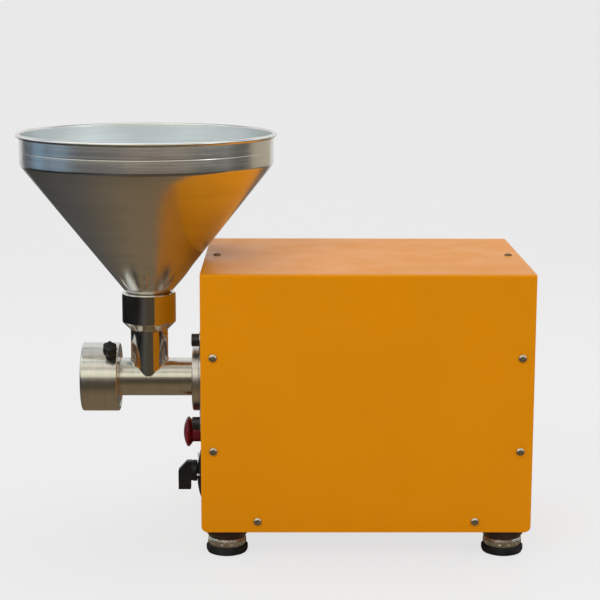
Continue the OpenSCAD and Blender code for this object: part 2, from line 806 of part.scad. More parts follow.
module hopper_spigot() color("silver") translate([-feed_x, 0, 0])
  zring(spigot_r, spigot_r - hopper_wall, cone_foot_z - spigot_l, cone_foot_z);

/* ---- shaft, bearings and coupling ---- */

module shaft_seal() color([0.1, 0.1, 0.1])
  xring(seal_r, shaft_r + run_gap, -hub_seat, -0.2);

module bearing_housing() color("dimgray") difference() {
  union() {
    xcyl(housing_r, housing_x, housing_end);
    at_flange_screws() union() {
      xcyl(ear_r, housing_x, housing_x + housing_ear_t, 0, 0);
      block([housing_x, -ear_web, -flange_pcd / 2 + housing_r - 6],
        [housing_x + housing_ear_t, ear_web, 0]);
    }
  }
  xcyl(bearing_r - 3, housing_x - cut, housing_end + cut);
  for (x = [bearing_1_x, bearing_2_x]) xcyl(bearing_r + hole_gap / 2, x, x + bearing_w);
  xcyl(bearing_r + hole_gap / 2, bearing_2_x, housing_end + cut);
  at_flange_screws()
    xcyl(flange_screw_d / 2 + run_gap, housing_x - cut, housing_x + housing_ear_t + cut, 0, 0);
}

module bearing_outer_rings() color("silver")
  for (x = bearing_xs) difference() {
    xring(bearing_r, ball_circle_r + ball_land, x, x + bearing_w);
    ball_race(x);
  }

module bearing_inner_rings() color("silver")
  for (x = bearing_xs) difference() {
    xring(ball_circle_r - ball_land, bearing_seat(x) + run_gap, x, x + bearing_w);
    ball_race(x);
  }

// Radius of the shaft in the bearing at x
function bearing_seat(x) = x < motor_x ? shaft_r : motor_seat_r;

// Groove that the balls run in
module ball_race(x)
  translate([x + bearing_w / 2, 0, axis_z]) rotate([0, 90, 0])
    rotate_extrude() translate([ball_circle_r, 0]) circle(ball_r + ball_gap);

module bearing_balls() color("white")
  for (x = bearing_xs, i = [0 : balls - 1])
    translate([x + bearing_w / 2, 0, axis_z]) rotate([i * 360 / balls, 0, 0])
      translate([0, 0, ball_circle_r]) sphere(ball_r, $fn = 32);

module drive_shaft() color("silver") difference() {
  union() {
    translate([-shaft_front - tang_l, 0, axis_z]) rotate([0, 90, 0])
      cylinder(r = tang_r, h = tang_l + cut, $fn = 6);
    xcyl(shaft_r, -shaft_front, housing_end);
    xcyl(shaft_r + 3, bearing_1_x + bearing_w, bearing_2_x);
    xcyl(coupling_bore_r, housing_end, shaft_end);
  }
  block([hub_1_x, -key_w / 2, axis_z + coupling_bore_r - key_w / 2],
    [shaft_end + cut, key_w / 2, axis_z + shaft_r]);
}

// One coupling hub with jaws towards +X, its back at x = 0
module coupling_half(bore) difference() {
  union() {
    xcyl(coupling_r, 0, coupling_hub_l);
    for (i = [0 : coupling_jaws - 1]) translate([0, 0, axis_z]) rotate([i * 360 / coupling_jaws, 0, 0])
      jaw(coupling_hub_l - cut, coupling_hub_l + coupling_gap - move_gap, 50);
  }
  xcyl(bore + run_gap, -cut, coupling_hub_l + coupling_gap);
}

// Sector-shaped jaw about the axis, width in degrees
module jaw(x0, x1, width)
  intersection() {
    xring(coupling_r - 0.8, coupling_r * 0.45, x0, x1, 0, 0);
    translate([x0, 0, 0]) rotate([90, 0, 90]) linear_extrude(x1 - x0)
      polygon([[0, 0], 2 * coupling_r * [cos(90 - width / 2), sin(90 - width / 2)],
        2 * coupling_r * [cos(90 + width / 2), sin(90 + width / 2)]]);
  }

module coupling_front() color("gray") translate([hub_1_x, 0, 0]) coupling_half(coupling_bore_r);

module coupling_rear() color("gray") translate([hub_2_x + coupling_hub_l, 0, 0])
  mirror([1, 0, 0]) translate([0, 0, axis_z]) rotate([60, 0, 0]) translate([0, 0, -axis_z])
    coupling_half(coupling_bore_r);

module coupling_spider() color("firebrick") union() {
  xring(coupling_r * 0.44, coupling_r * 0.3, shaft_end + move_gap, hub_2_x - move_gap);
  for (i = [0 : 2 * coupling_jaws - 1]) translate([0, 0, axis_z]) rotate([i * 60 + 30, 0, 0])
    block([shaft_end + move_gap, -0.8, coupling_r * 0.42], [hub_2_x - move_gap, 0.8, coupling_r - 1]);
}

/* ---- motor ---- */

module motor_shaft() color("silver") union() {
  xcyl(coupling_bore_r, hub_2_x, motor_x + bell_wall);
  xcyl(motor_seat_r, motor_x + bell_wall, frame_end + 1 + bearing_w);
  xcyl(fan_seat_r, frame_end + 1 + bearing_w - cut, motor_shaft_end);
}

module motor_frame() color("steelblue") difference() {
  union() {
    xcyl(frame_r, frame_x, frame_end);
    for (i = [0 : ribs - 1]) translate([0, 0, axis_z]) rotate([i * 360 / ribs, 0, 0])
      block([frame_x + 6, -1.2, frame_r - 2], [frame_end - 6, 1.2, motor_r]);
  }
  xcyl(frame_bore_r, frame_x - cut, frame_end + cut);
}

// End bell with its bearing seat; the bearing's near face is at seat_x
module end_bell(x0, x1, seat_x, shaft_bore) difference() {
  xcyl(frame_r + 2, x0, x1);
  xcyl(bearing_r + hole_gap / 2, seat_x, seat_x + bearing_w);
  xcyl(shaft_bore, x0 - cut, x1 + cut);
}

module motor_end_bells() color("steelblue") {
  end_bell(motor_x, frame_x, motor_x + bell_wall, shaft_r + 4);
  end_bell(frame_end, motor_end, frame_end + 1, shaft_r + 4);
}

module stator_core() color("gray")
  xring(frame_bore_r - hole_gap / 2, stator_r, core_x, core_end);

module stator_windings() color("peru") {
  xring(winding_r, stator_r + 3, core_x - winding_l, core_x);
  xring(winding_r, stator_r + 3, core_end, core_end + winding_l);
}

module rotor_core() color("darkgray")
  xring(rotor_r, motor_seat_r + run_gap, core_x, core_end);

module cooling_fan() color([0.1, 0.1, 0.1]) difference() {
  union() {
    xcyl(fan_r * 0.34, fan_x, fan_x + fan_w);
    xcyl(fan_r, fan_x, fan_x + 2);
    for (i = [0 : fan_blades - 1]) translate([0, 0, axis_z]) rotate([i * 360 / fan_blades, 0, 0])
      block([fan_x + 1, -1, fan_r * 0.3], [fan_x + fan_w, 1, fan_r - 2]);
  }
  xcyl(fan_seat_r + run_gap, fan_x - cut, fan_x + fan_w + cut);
}

module fan_cover() color("steelblue") difference() {
  xcyl(frame_r + 4, motor_end - 6, fan_cover_end);
  xcyl(frame_r + 2 + hole_gap, motor_end - 6 - cut, fan_cover_end - 1.5);
  for (ring = fan_slot_rings, i = [0 : 5]) translate([0, 0, axis_z]) rotate([i * 60, 0, 0])
    block([fan_cover_end - 2 * cut - 0.5, -ring * 0.42, ring],
      [fan_cover_end + cut, ring * 0.42, ring + 5]);
}

module motor_cradle() color("dimgray") difference() {
  for (x = cradle_x) {
    block([x - cradle_foot, -cradle_w / 2, floor_z], [x + cradle_foot, cradle_w / 2, floor_z + cradle_t]);
    block([x - cradle_t, -cradle_w / 2, floor_z], [x + cradle_t, cradle_w / 2, cradle_top]);
    xring(motor_r + strap_t, motor_r, x - strap_half_w, x + strap_half_w);
  }
  xcyl(motor_r + hole_gap / 2, cradle_x[0] - cradle_foot, cradle_x[1] + cradle_foot);
}

module run_capacitor() color("gainsboro") translate([cap_x, cap_y, 0]) union() {
  zcyl(cap_can_r, floor_z, floor_z + cap_can_l);
  zcyl(cap_can_r - 3, floor_z + cap_can_l - cut, floor_z + cap_can_l + 4);
  for (s = [-1, 1])
    block([s * cap_tag_x - cap_tag_w / 2, -0.5, floor_z + cap_can_l + 3],
      [s * cap_tag_x + cap_tag_w / 2, 0.5, floor_z + cap_can_l + 12]);
}

/* ---- controls ---- */

// Threaded barrel and bezel that clamp the stop button in the panel
module stop_collar() color([0.1, 0.1, 0.1]) difference() {
  union() {
    xcyl(stop_hole_r + 3, -stop_collar_t, 0, 0, stop_z);
    xcyl(stop_hole_r, -cut, stop_barrel_l, 0, stop_z);
  }
  xcyl(stop_neck_r + move_gap, -stop_collar_t - cut, -0.4, 0, stop_z);
  xcyl(stop_stem_r + run_gap, -stop_collar_t, stop_barrel_l + cut, 0, stop_z);
}

module stop_stem() color("dimgray") union() {
  xcyl(stop_stem_r, -stop_collar_t + 0.2, stop_barrel_l + 2, 0, stop_z);
  xcyl(stop_core_r, -stop_rim_x, -stop_collar_t + cut, 0, stop_z);
}

module stop_button() color("darkred") difference() {
  translate([0, 0, stop_z - axis_z]) union() {
    turned([[-stop_rim_x - 1.6, 0], [-stop_rim_x - 1.6, stop_r - 1], [-stop_rim_x - 0.6, stop_r],
      [-stop_rim_x + 0.4, stop_r], [-stop_rim_x + 4, stop_neck_r], [-stop_collar_t - 0.2, stop_neck_r],
      [-stop_collar_t - 0.2, 0]]);
    intersection() {
      xcyl(stop_r - 1, -stop_reach, -stop_rim_x - 1);
      translate([-stop_reach + stop_r * 2.6, 0, axis_z]) sphere(stop_r * 2.6);
    }
  }
  xcyl(stop_core_r + run_gap, -stop_rim_x - 0.4, 0, 0, stop_z);
}

module stop_contacts() color("gainsboro") difference() {
  union() {
    xcyl(stop_hole_r + 4, panel_t, panel_t + 4, 0, stop_z);
    block([panel_t + 4, -stop_block_half_w, stop_z - stop_block_half_w],
      [stop_block_l, stop_block_half_w, stop_z + stop_block_half_w]);
  }
  xcyl(stop_hole_r + run_gap, panel_t - cut, stop_barrel_l + 0.2, 0, stop_z);
  xcyl(stop_stem_r + move_gap, panel_t, stop_barrel_l + 2 + stop_travel + 1, 0, stop_z);
}

module switch_plate() color([0.05, 0.05, 0.05]) difference() {
  intersection() {
    block([-plate_t, -plate_w / 2, switch_z - plate_w / 2], [0, plate_w / 2, switch_z + plate_w / 2]);
    translate([plate_dome_r - plate_t, 0, switch_z]) sphere(plate_dome_r, $fn = 128);
  }
  xcyl(switch_shaft_r + run_gap, -plate_t - cut, cut, 0, switch_z);
}

module switch_handle() color([0.05, 0.05, 0.05]) union() {
  xcyl(handle_hub_r, -plate_t - 6, -plate_t - move_gap, 0, switch_z);
  translate([0, handle_w / 2, switch_z]) rotate([90, 0, 0]) linear_extrude(handle_w)
    polygon([[-handle_back_x, handle_up - 1], [-plate_t - 11, handle_up - 1], [-handle_reach, 1],
      [-handle_reach, -handle_down], [-handle_foot_x, -handle_down],
      [-handle_foot_x, -handle_hub_r + 1], [-handle_back_x, -handle_hub_r + 1]]);
  xcyl(switch_shaft_r, -handle_back_x, switch_shaft_end, 0, switch_z);
}

module switch_body() color("dimgray") difference() {
  block([panel_t, -switch_block_w / 2, switch_z - switch_block_w / 2],
    [panel_t + switch_block_l, switch_block_w / 2, switch_z + switch_block_w / 2]);
  xcyl(switch_shaft_r + run_gap, panel_t - cut, switch_shaft_end + 1, 0, switch_z);
  for (x = wafer_x, s = [-1, 1])
    translate([panel_t + x, s * switch_block_w / 2, switch_z])
      cube([wafer_groove, 2 * wafer_groove, switch_block_w + cut], center = true);
}

/* ---- power inlet ---- */

module at_inlet_screws()
  for (s = [-1, 1]) translate([body_l, inlet_y + s * inlet_screw_pitch / 2, inlet_z]) children();

module power_inlet() color([0.06, 0.06, 0.06]) difference() {
  union() {
    block([body_l, inlet_y - inlet_flange_w / 2, inlet_z - inlet_flange_h / 2],
      [body_l + inlet_flange_t, inlet_y + inlet_flange_w / 2, inlet_z + inlet_flange_h / 2]);
    block([body_l - inlet_depth, inlet_y - inlet_w / 2, inlet_z - inlet_hi / 2],
      [body_l + cut, inlet_y + inlet_w / 2, inlet_z + inlet_hi / 2]);
  }
  block([body_l - inlet_depth + inlet_floor, inlet_y - inlet_w / 2 + inlet_wall[0],
      inlet_z - inlet_hi / 2 + inlet_wall[1]],
    [body_l + inlet_flange_t + cut, inlet_y + inlet_w / 2 - inlet_wall[0],
      inlet_z + inlet_hi / 2 - inlet_wall[1]]);
  at_inlet_screws() xcyl(small_screw_r + hole_gap, -cut, inlet_flange_t + cut, 0, 0);
  at_inlet_pins() pin_block(-inlet_depth - cut, -inlet_depth + inlet_floor + cut, run_gap);
}

module at_inlet_pins()
  for (p = pin_places) translate([body_l, inlet_y + p[0], inlet_z + p[1]]) children();

// Flat pin from x0 to x1, grown by a clearance
module pin_block(x0, x1, gap)
  block([x0, -pin_half[0] - gap, -pin_half[1] - gap], [x1, pin_half[0] + gap, pin_half[1] + gap]);

module inlet_pins() color("gold") at_inlet_pins()
  pin_block(-inlet_depth - 8, -4, 0);

module inlet_screws() color("silver") at_inlet_screws()
  translate([inlet_flange_t, 0, 0]) rotate([0, 90, 0])
    pan_screw(2 * small_screw_r, screw_head_d * 0.72, panel_t + inlet_flange_t + 4, screw_head_h);

placed() cover();
placed() front_panel();
placed() rear_panel();
placed() base_plate();
placed() cover_screws();
placed() top_screws();
placed() clinch_nuts();
placed() foot_pads();
placed() foot_rings();
placed() foot_collars();
placed() foot_bolts();
placed() foot_nuts();
placed() mounting_flange();
placed() flange_screws();
placed() barrel_tube();
placed() barrel_nose();
placed() feed_tube();
placed() hopper_socket();
placed() hopper_bowl();
placed() rim_wire();
placed() hopper_spigot();
placed() head_cap();
placed() stationary_burr();
placed() burr_screws();
placed() rotating_burr();
placed() burr_nut();
placed() auger();
placed() lock_knob();
placed() lock_screw();
placed() barrel_grub_screw();
placed() shaft_seal();
placed() drive_shaft();
placed() bearing_housing();
placed() bearing_outer_rings();
placed() bearing_inner_rings();
placed() bearing_balls();
placed() coupling_front();
placed() coupling_spider();
placed() coupling_rear();
placed() motor_shaft();
placed() motor_frame();
placed() motor_end_bells();
placed() stator_core();
placed() stator_windings();
placed() rotor_core();
placed() cooling_fan();
placed() fan_cover();
placed() motor_cradle();
placed() run_capacitor();
placed() stop_collar();
placed() stop_stem();
placed() stop_button();
placed() stop_contacts();
placed() switch_plate();
placed() switch_handle();
placed() switch_body();
placed() power_inlet();
placed() inlet_pins();
placed() inlet_screws();
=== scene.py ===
"""Dresses a bench-top nut butter grinder around its frame: painted sheet-metal casing, turned and
spun steelwork, screws, feet, controls and a plain studio. Metres, +Z up, head towards -X."""

import json
import math

import bmesh
import bpy
from bpy.props import FloatProperty, FloatVectorProperty, IntProperty, PointerProperty
from mathutils import Matrix, Vector


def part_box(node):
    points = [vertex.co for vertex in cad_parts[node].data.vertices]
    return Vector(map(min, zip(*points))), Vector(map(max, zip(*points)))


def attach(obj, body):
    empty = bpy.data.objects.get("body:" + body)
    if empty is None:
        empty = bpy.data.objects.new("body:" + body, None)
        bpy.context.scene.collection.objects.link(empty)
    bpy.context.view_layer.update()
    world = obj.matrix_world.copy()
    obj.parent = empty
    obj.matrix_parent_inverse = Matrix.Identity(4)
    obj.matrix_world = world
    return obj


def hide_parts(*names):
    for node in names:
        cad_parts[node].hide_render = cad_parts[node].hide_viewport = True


bl_info = {
    "name": "Nut butter grinder",
    "version": (1, 0, 0),
    "blender": (4, 5, 0),
    "location": "3D View > Sidebar > Grinder",
    "description": "Finished pieces, materials and a studio for a nut butter grinder",
    "category": "Object",
}

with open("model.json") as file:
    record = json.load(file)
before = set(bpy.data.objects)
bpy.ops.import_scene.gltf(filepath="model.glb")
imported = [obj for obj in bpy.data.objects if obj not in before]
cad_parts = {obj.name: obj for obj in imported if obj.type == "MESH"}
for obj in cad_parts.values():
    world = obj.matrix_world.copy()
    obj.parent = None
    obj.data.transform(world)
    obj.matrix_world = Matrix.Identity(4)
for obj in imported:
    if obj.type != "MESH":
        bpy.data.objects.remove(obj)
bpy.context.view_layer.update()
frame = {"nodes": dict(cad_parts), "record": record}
MM = 0.001
FULL_TURN = 2 * math.pi
QUARTER = math.pi / 2


# ---- places, read from the frame ----


def low(node):
    """The corner of a node's box with the least x, y and z."""
    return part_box(node)[0]


def high(node):
    """The corner of a node's box with the most x, y and z."""
    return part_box(node)[1]


def middle(node):
    """The middle of a node's box."""
    return (low(node) + high(node)) / 2


def radius_of(node, axis="z"):
    """Half the node's extent along one axis."""
    return (getattr(high(node), axis) - getattr(low(node), axis)) / 2


# The drive axis runs along x at this height, and the feed stands over this x
AXIS_Z = middle("barrel_tube").z
FEED_X = middle("hopper_socket").x
CASING_LOW = low("cover")
CASING_HIGH = high("cover")
FRONT_X = CASING_LOW.x
REAR_X = CASING_HIGH.x

UP = Vector((0, 0, 1))
FORWARD = Vector((-1, 0, 0))
BACKWARD = Vector((1, 0, 0))


def about_x(y, z):
    """Turns local Z into the frame's x, so that heights on the line through (y, z) are its own x."""
    return Matrix.Translation((0, y, z)) @ Matrix.Rotation(QUARTER, 4, "Y")


def side_on(y):
    """Lays a flat outline in the frame's x and z, to be pushed along y from there."""
    return Matrix(((1, 0, 0, 0), (0, 0, 1, y), (0, 1, 0, 0), (0, 0, 0, 1)))


AT_ORIGIN = Matrix.Identity(4)
ABOUT_DRIVE = about_x(0, AXIS_Z)
# The upright line through the feed tube and the hopper
ABOUT_FEED = Matrix.Translation((FEED_X, 0, 0))


# ---- sizes and colours that a user would change ----


def length(name, description, millimetres, least=0.01):
    """A size property, given in millimetres and kept in metres."""
    return FloatProperty(
        name=name,
        description=description,
        default=millimetres * MM,
        min=least * MM,
        unit="LENGTH",
    )


def colour(name, description, red, green, blue):
    """A colour property, from three shares of light."""
    return FloatVectorProperty(
        name=name,
        description=description,
        default=(red, green, blue),
        subtype="COLOR",
        size=3,
        min=0.0,
        max=1.0,
    )


class CasingLook(bpy.types.PropertyGroup):
    paint: colour("Paint", "Powder coat of the casing", 0.60, 0.203, 0.0)
    bend: length("Bend radius", "Outside radius of the cover's long top bends", 3.0)
    sheet: length("Sheet", "Thickness of the cover's sheet metal", 1.5)
    corner: length("Corner radius", "Radius of the cover's bottom corners", 6.0)
    edge: length("Edge radius", "Rounding of the cut sheet edges", 0.45)


class ScrewLook(bpy.types.PropertyGroup):
    recess: length("Recess width", "Width of one arm of the cross recess", 1.3)
    recess_depth: length("Recess depth", "Depth of the cross recess", 1.2)
    crown: length("Crown", "Rounding of the screw heads", 1.1)


class HopperLook(bpy.types.PropertyGroup):
    wall: length("Wall", "Thickness of the hopper's sheet", 1.0)
    band_height: length("Band height", "Height of the straight band under the rim", 29.0)
    bead: length("Rim bead", "Diameter of the rolled bead round the rim", 4.4)
    flute_length: length("Flute length", "Length of the pressed flutes above the neck", 24.0)
    flute_height: length("Flute height", "How far the flutes stand out of the cone", 0.9)
    flutes: IntProperty(
        name="Flutes", description="Pressed flutes round the cone's foot", default=8, min=0, max=24
    )


class FeedLook(bpy.types.PropertyGroup):
    bore: length("Feed bore", "Radius of the feed tube's bore", 15.5)
    barrel_wall: length("Barrel wall", "Thickness of the barrel's wall", 3.0)
    flange_foot: length("Flange foot", "Thickness of the flange's three-eared foot", 5.5)
    flange_hub: length("Flange hub", "Radius of the flange's faced hub", 35.0)
    ear: length("Ear radius", "Radius of the flange's three ears", 9.5)


class SteelLook(bpy.types.PropertyGroup):
    polished: colour("Polished steel", "Colour of the polished tubes", 0.74, 0.72, 0.68)
    turned: colour("Turned steel", "Colour of the turned head and flange", 0.74, 0.72, 0.69)
    spun: colour("Spun steel", "Colour of the hopper", 0.80, 0.79, 0.77)


class ControlLook(bpy.types.PropertyGroup):
    red: colour("Stop red", "Colour of the stop button", 0.130, 0.002, 0.012)
    black: colour("Black", "Colour of the black plastic", 0.008, 0.009, 0.009)
    mark: colour("Marks", "Colour of the switch's position marks", 0.75, 0.75, 0.72)


class StudioLook(bpy.types.PropertyGroup):
    ground: colour("Ground", "Colour of the floor and the backdrop", 0.838, 0.838, 0.838)
    lens: FloatProperty(
        name="Lens",
        description="Focal length on a 36 mm sensor",
        default=101.4,
        min=20,
        max=300,
        unit="CAMERA",
    )
    floor_size: length("Floor size", "Half the floor's width", 6000.0)
    sweep: length("Backdrop bend", "Radius of the bend between floor and backdrop", 1200.0)
    soft: FloatProperty(name="Soft light", description="Strength of the light all round", default=0.55, min=0)


LOOKS = {
    "grinder_casing": CasingLook,
    "grinder_screws": ScrewLook,
    "grinder_hopper": HopperLook,
    "grinder_feed": FeedLook,
    "grinder_steel": SteelLook,
    "grinder_controls": ControlLook,
    "grinder_studio": StudioLook,
}


def look(name):
    """The scene's own sizes and colours of one group."""
    return getattr(bpy.context.scene, f"grinder_{name}")


# ---- materials ----


def tint(base, share, lift=0.0):
    """A colour made darker or lighter by a share."""
    return tuple(min(1.0, c * share + lift) for c in base)


class Finish:
    """A node material under construction, with short calls for the nodes that the finishes share."""

    def __init__(self, name, base, roughness, metallic=0.0, specular=0.5, coat=0.0):
        self.material = bpy.data.materials.new(name)
        self.material.use_nodes = True
        self.tree = self.material.node_tree
        self.tree.nodes.clear()
        self.surface = self.add("ShaderNodeBsdfPrincipled")
        self.result = self.add("ShaderNodeOutputMaterial").inputs["Surface"]
        self.link(self.surface.outputs["BSDF"], self.result)
        self.put("Base Color", (*base, 1.0))
        self.put("Roughness", roughness)
        self.put("Metallic", metallic)
        self.put("Specular IOR Level", specular)
        self.put("Coat Weight", coat)
        self.coordinates = self.add("ShaderNodeTexCoord").outputs["Object"]

    def add(self, kind, **settings):
        """A new node with its settings."""
        node = self.tree.nodes.new(kind)
        for name, value in settings.items():
            setattr(node, name, value)
        return node

    def link(self, source, target):
        """Joins an output to an input."""
        self.tree.links.new(source, target)

    def put(self, socket, value):
        """Sets a constant on the shader's own socket, or links a node's output to it."""
        if isinstance(value, bpy.types.NodeSocket):
            self.link(value, self.surface.inputs[socket])
        else:
            self.surface.inputs[socket].default_value = value

    def math(self, operation, first, second):
        """The result of a sum on numbers or on nodes' outputs."""
        node = self.add("ShaderNodeMath", operation=operation)
        for socket, value in zip(node.inputs, (first, second)):
            if isinstance(value, bpy.types.NodeSocket):
                self.link(value, socket)
            else:
                socket.default_value = value
        return node.outputs[0]

    def moved(self, centre):
        """Object coordinates counted from a point."""
        node = self.add("ShaderNodeMapping")
        self.link(self.coordinates, node.inputs["Vector"])
        node.inputs["Location"].default_value = -Vector(centre)
        return node.outputs["Vector"]

    def stretched(self, scale):
        """Object coordinates scaled along each axis."""
        node = self.add("ShaderNodeMapping")
        self.link(self.coordinates, node.inputs["Vector"])
        node.inputs["Scale"].default_value = scale
        return node.outputs["Vector"]

    def noise(self, vector, scale, detail, roughness=0.5):
        """A cloudy texture."""
        node = self.add("ShaderNodeTexNoise")
        self.link(vector, node.inputs["Vector"])
        node.inputs["Scale"].default_value = scale
        node.inputs["Detail"].default_value = detail
        node.inputs["Roughness"].default_value = roughness
        return node.outputs["Fac"]

    def spread(self, value, least, most, start=0.3, end=0.7):
        """Maps a texture's middle range onto least to most."""
        node = self.add("ShaderNodeMapRange")
        self.link(value, node.inputs["Value"])
        for name, number in (("From Min", start), ("From Max", end), ("To Min", least), ("To Max", most)):
            node.inputs[name].default_value = number
        return node.outputs["Result"]

    def blend(self, share, first, second):
        """A colour between two colours, by a texture."""
        node = self.add("ShaderNodeMix", data_type="RGBA")
        self.link(share, node.inputs["Factor"])
        for name, value in (("A", first), ("B", second)):
            socket = next(s for s in node.inputs if s.name == name and s.type == "RGBA")
            if isinstance(value, bpy.types.NodeSocket):
                self.link(value, socket)
            else:
                socket.default_value = (*value, 1.0)
        return next(s for s in node.outputs if s.type == "RGBA")

    def mottle(self, base, texture, dark, light, lift=0.0):
        """Varies the base colour by a texture, between two shares of it."""
        darker, lighter = tint(base, dark), tint(base, light, lift)
        self.put("Base Color", self.blend(self.spread(texture, 0, 1), darker, lighter))

    def bump(self, height, distance, strength, after=None):
        """Raises the surface by a texture, on top of an earlier bump if one is given."""
        node = self.add("ShaderNodeBump")
        self.link(height, node.inputs["Height"])
        node.inputs["Distance"].default_value = distance
        node.inputs["Strength"].default_value = strength
        if after is not None:
            self.link(after, node.inputs["Normal"])
        self.link(node.outputs["Normal"], self.surface.inputs["Normal"])
        return node.outputs["Normal"]

    def round_axis(self, axis, centre, fineness):
        """Coordinates in which marks run round an axis, as a lathe tool leaves them."""
        split = self.add("ShaderNodeSeparateXYZ")
        self.link(self.moved(centre), split.inputs[0])
        along = split.outputs["XYZ".index(axis)]
        across = [split.outputs[i] for i in range(3) if "XYZ"[i] != axis]
        flat = self.add("ShaderNodeCombineXYZ")
        self.link(across[0], flat.inputs[0])
        self.link(across[1], flat.inputs[1])
        reach = self.add("ShaderNodeVectorMath", operation="LENGTH")
        self.link(flat.outputs[0], reach.inputs[0])
        facing = self.add("ShaderNodeVectorMath", operation="NORMALIZE")
        self.link(flat.outputs[0], facing.inputs[0])
        sides = self.add("ShaderNodeSeparateXYZ")
        self.link(facing.outputs[0], sides.inputs[0])
        depth = self.math("ADD", along, reach.outputs["Value"])
        joined = self.add("ShaderNodeCombineXYZ")
        self.link(self.math("MULTIPLY", depth, fineness), joined.inputs[0])
        self.link(sides.outputs[0], joined.inputs[1])
        self.link(sides.outputs[1], joined.inputs[2])
        return joined.outputs[0]


def powder_coat(name, paint):
    """Satin powder coat: a fine pebbled skin, faint mottling and handling marks in its gloss."""
    finish = Finish(name, paint, 0.36, specular=0.26)
    finish.put("Specular Tint", (1.0, 0.90, 0.24, 1.0))
    cloudy = finish.noise(finish.coordinates, 9.0, 4.0)
    finish.mottle(paint, cloudy, 0.975, 1.02)
    handled = finish.noise(finish.stretched((1.0, 1.0, 2.2)), 22.0, 6.0, 0.62)
    finish.put("Roughness", finish.spread(handled, 0.30, 0.42))
    pebbled = finish.noise(finish.coordinates, 620.0, 2.0)
    skin = finish.bump(pebbled, 0.00012, 0.35)
    waves = finish.noise(finish.coordinates, 34.0, 1.0)
    finish.bump(waves, 0.0006, 0.12, skin)
    return finish.material


def lathe_steel(name, base, axis, centre, gloss, fineness=900.0, brushed=0.0):
    """Steel with fine marks that run round an axis, cloudy handling marks and small scratches."""
    finish = Finish(name, base, gloss, metallic=1.0)
    rings = finish.noise(finish.round_axis(axis, centre, fineness), 1.0, 4.0, 0.7)
    broad = finish.noise(finish.round_axis(axis, centre, fineness * 0.09), 1.0, 2.0)
    cloudy = finish.noise(finish.coordinates, 38.0, 5.0, 0.6)
    tone = finish.math("ADD", finish.math("MULTIPLY", rings, 0.6), finish.math("MULTIPLY", broad, 0.4))
    finish.mottle(base, tone, 0.86, 1.08)
    worn = finish.math("ADD", finish.math("MULTIPLY", tone, 0.7), finish.math("MULTIPLY", cloudy, 0.3))
    finish.put("Roughness", finish.spread(worn, gloss * 0.75, gloss * 1.4))
    finish.put("Anisotropic", brushed)
    if brushed:
        tangent = finish.add("ShaderNodeTangent", direction_type="RADIAL", axis=axis)
        finish.link(tangent.outputs[0], finish.surface.inputs["Tangent"])
    grooves = finish.bump(rings, 0.00002, 0.6)
    dents = finish.noise(finish.coordinates, 55.0, 2.0)
    finish.bump(dents, 0.00025, 0.10, grooves)
    return finish.material


def plated(name, base, gloss, metallic=1.0):
    """Plated or blackened fasteners and pressings: speckled tone and a slightly uneven gloss."""
    finish = Finish(name, base, gloss, metallic=metallic)
    speckle = finish.noise(finish.coordinates, 700.0, 4.0, 0.6)
    stained = finish.noise(finish.coordinates, 120.0, 3.0)
    finish.mottle(base, stained, 0.78, 1.12)
    finish.put("Roughness", finish.spread(speckle, gloss * 0.75, gloss * 1.35))
    finish.bump(speckle, 0.00003, 0.4)
    return finish.material


def moulded(name, base, gloss, grain=480.0, depth=0.00006, coat=0.0):
    """Moulded plastic with a spark-eroded grain."""
    finish = Finish(name, base, gloss, specular=0.24, coat=coat)
    grained = finish.noise(finish.coordinates, grain, 3.0, 0.6)
    rubbed = finish.noise(finish.coordinates, 45.0, 4.0)
    finish.mottle(base, rubbed, 0.8, 1.25, 0.002)
    finish.put("Roughness", finish.spread(rubbed, gloss * 0.85, gloss * 1.2))
    finish.bump(grained, depth, 0.5)
    return finish.material


def moulded_rubber(name, base):
    """Dull rubber with dust in its pores."""
    finish = Finish(name, base, 0.72, specular=0.3)
    pores = finish.noise(finish.coordinates, 900.0, 3.0, 0.7)
    dust = finish.noise(finish.coordinates, 70.0, 5.0, 0.65)
    dusty = tint(base, 1.6, 0.012)
    finish.put("Base Color", finish.blend(finish.spread(dust, 0, 1, 0.45, 0.75), base, dusty))
    finish.put("Roughness", finish.spread(dust, 0.62, 0.85))
    finish.bump(pores, 0.00008, 0.5)
    return finish.material


def cast_metal(name, base, gloss=0.5, metallic=0.85):
    """Cast metal with a sandy skin."""
    finish = Finish(name, base, gloss, metallic=metallic)
    sandy = finish.noise(finish.coordinates, 420.0, 5.0, 0.7)
    stained = finish.noise(finish.coordinates, 30.0, 3.0)
    finish.mottle(base, stained, 0.8, 1.15)
    finish.put("Roughness", finish.spread(sandy, gloss * 0.8, gloss * 1.25))
    finish.bump(sandy, 0.00016, 0.5)
    return finish.material


def wound_copper(name):
    """Varnished copper wire, wound round the drive axis."""
    base = (0.50, 0.19, 0.07)
    finish = Finish(name, base, 0.3, metallic=0.8)
    turns = finish.noise(finish.round_axis("X", (0, 0, AXIS_Z), 1400.0), 1.0, 2.0)
    finish.put("Base Color", finish.blend(finish.spread(turns, 0, 1), (0.28, 0.09, 0.03), base))
    finish.put("Roughness", finish.spread(turns, 0.22, 0.4))
    finish.bump(turns, 0.0003, 0.7)
    return finish.material


FINISHES = {}


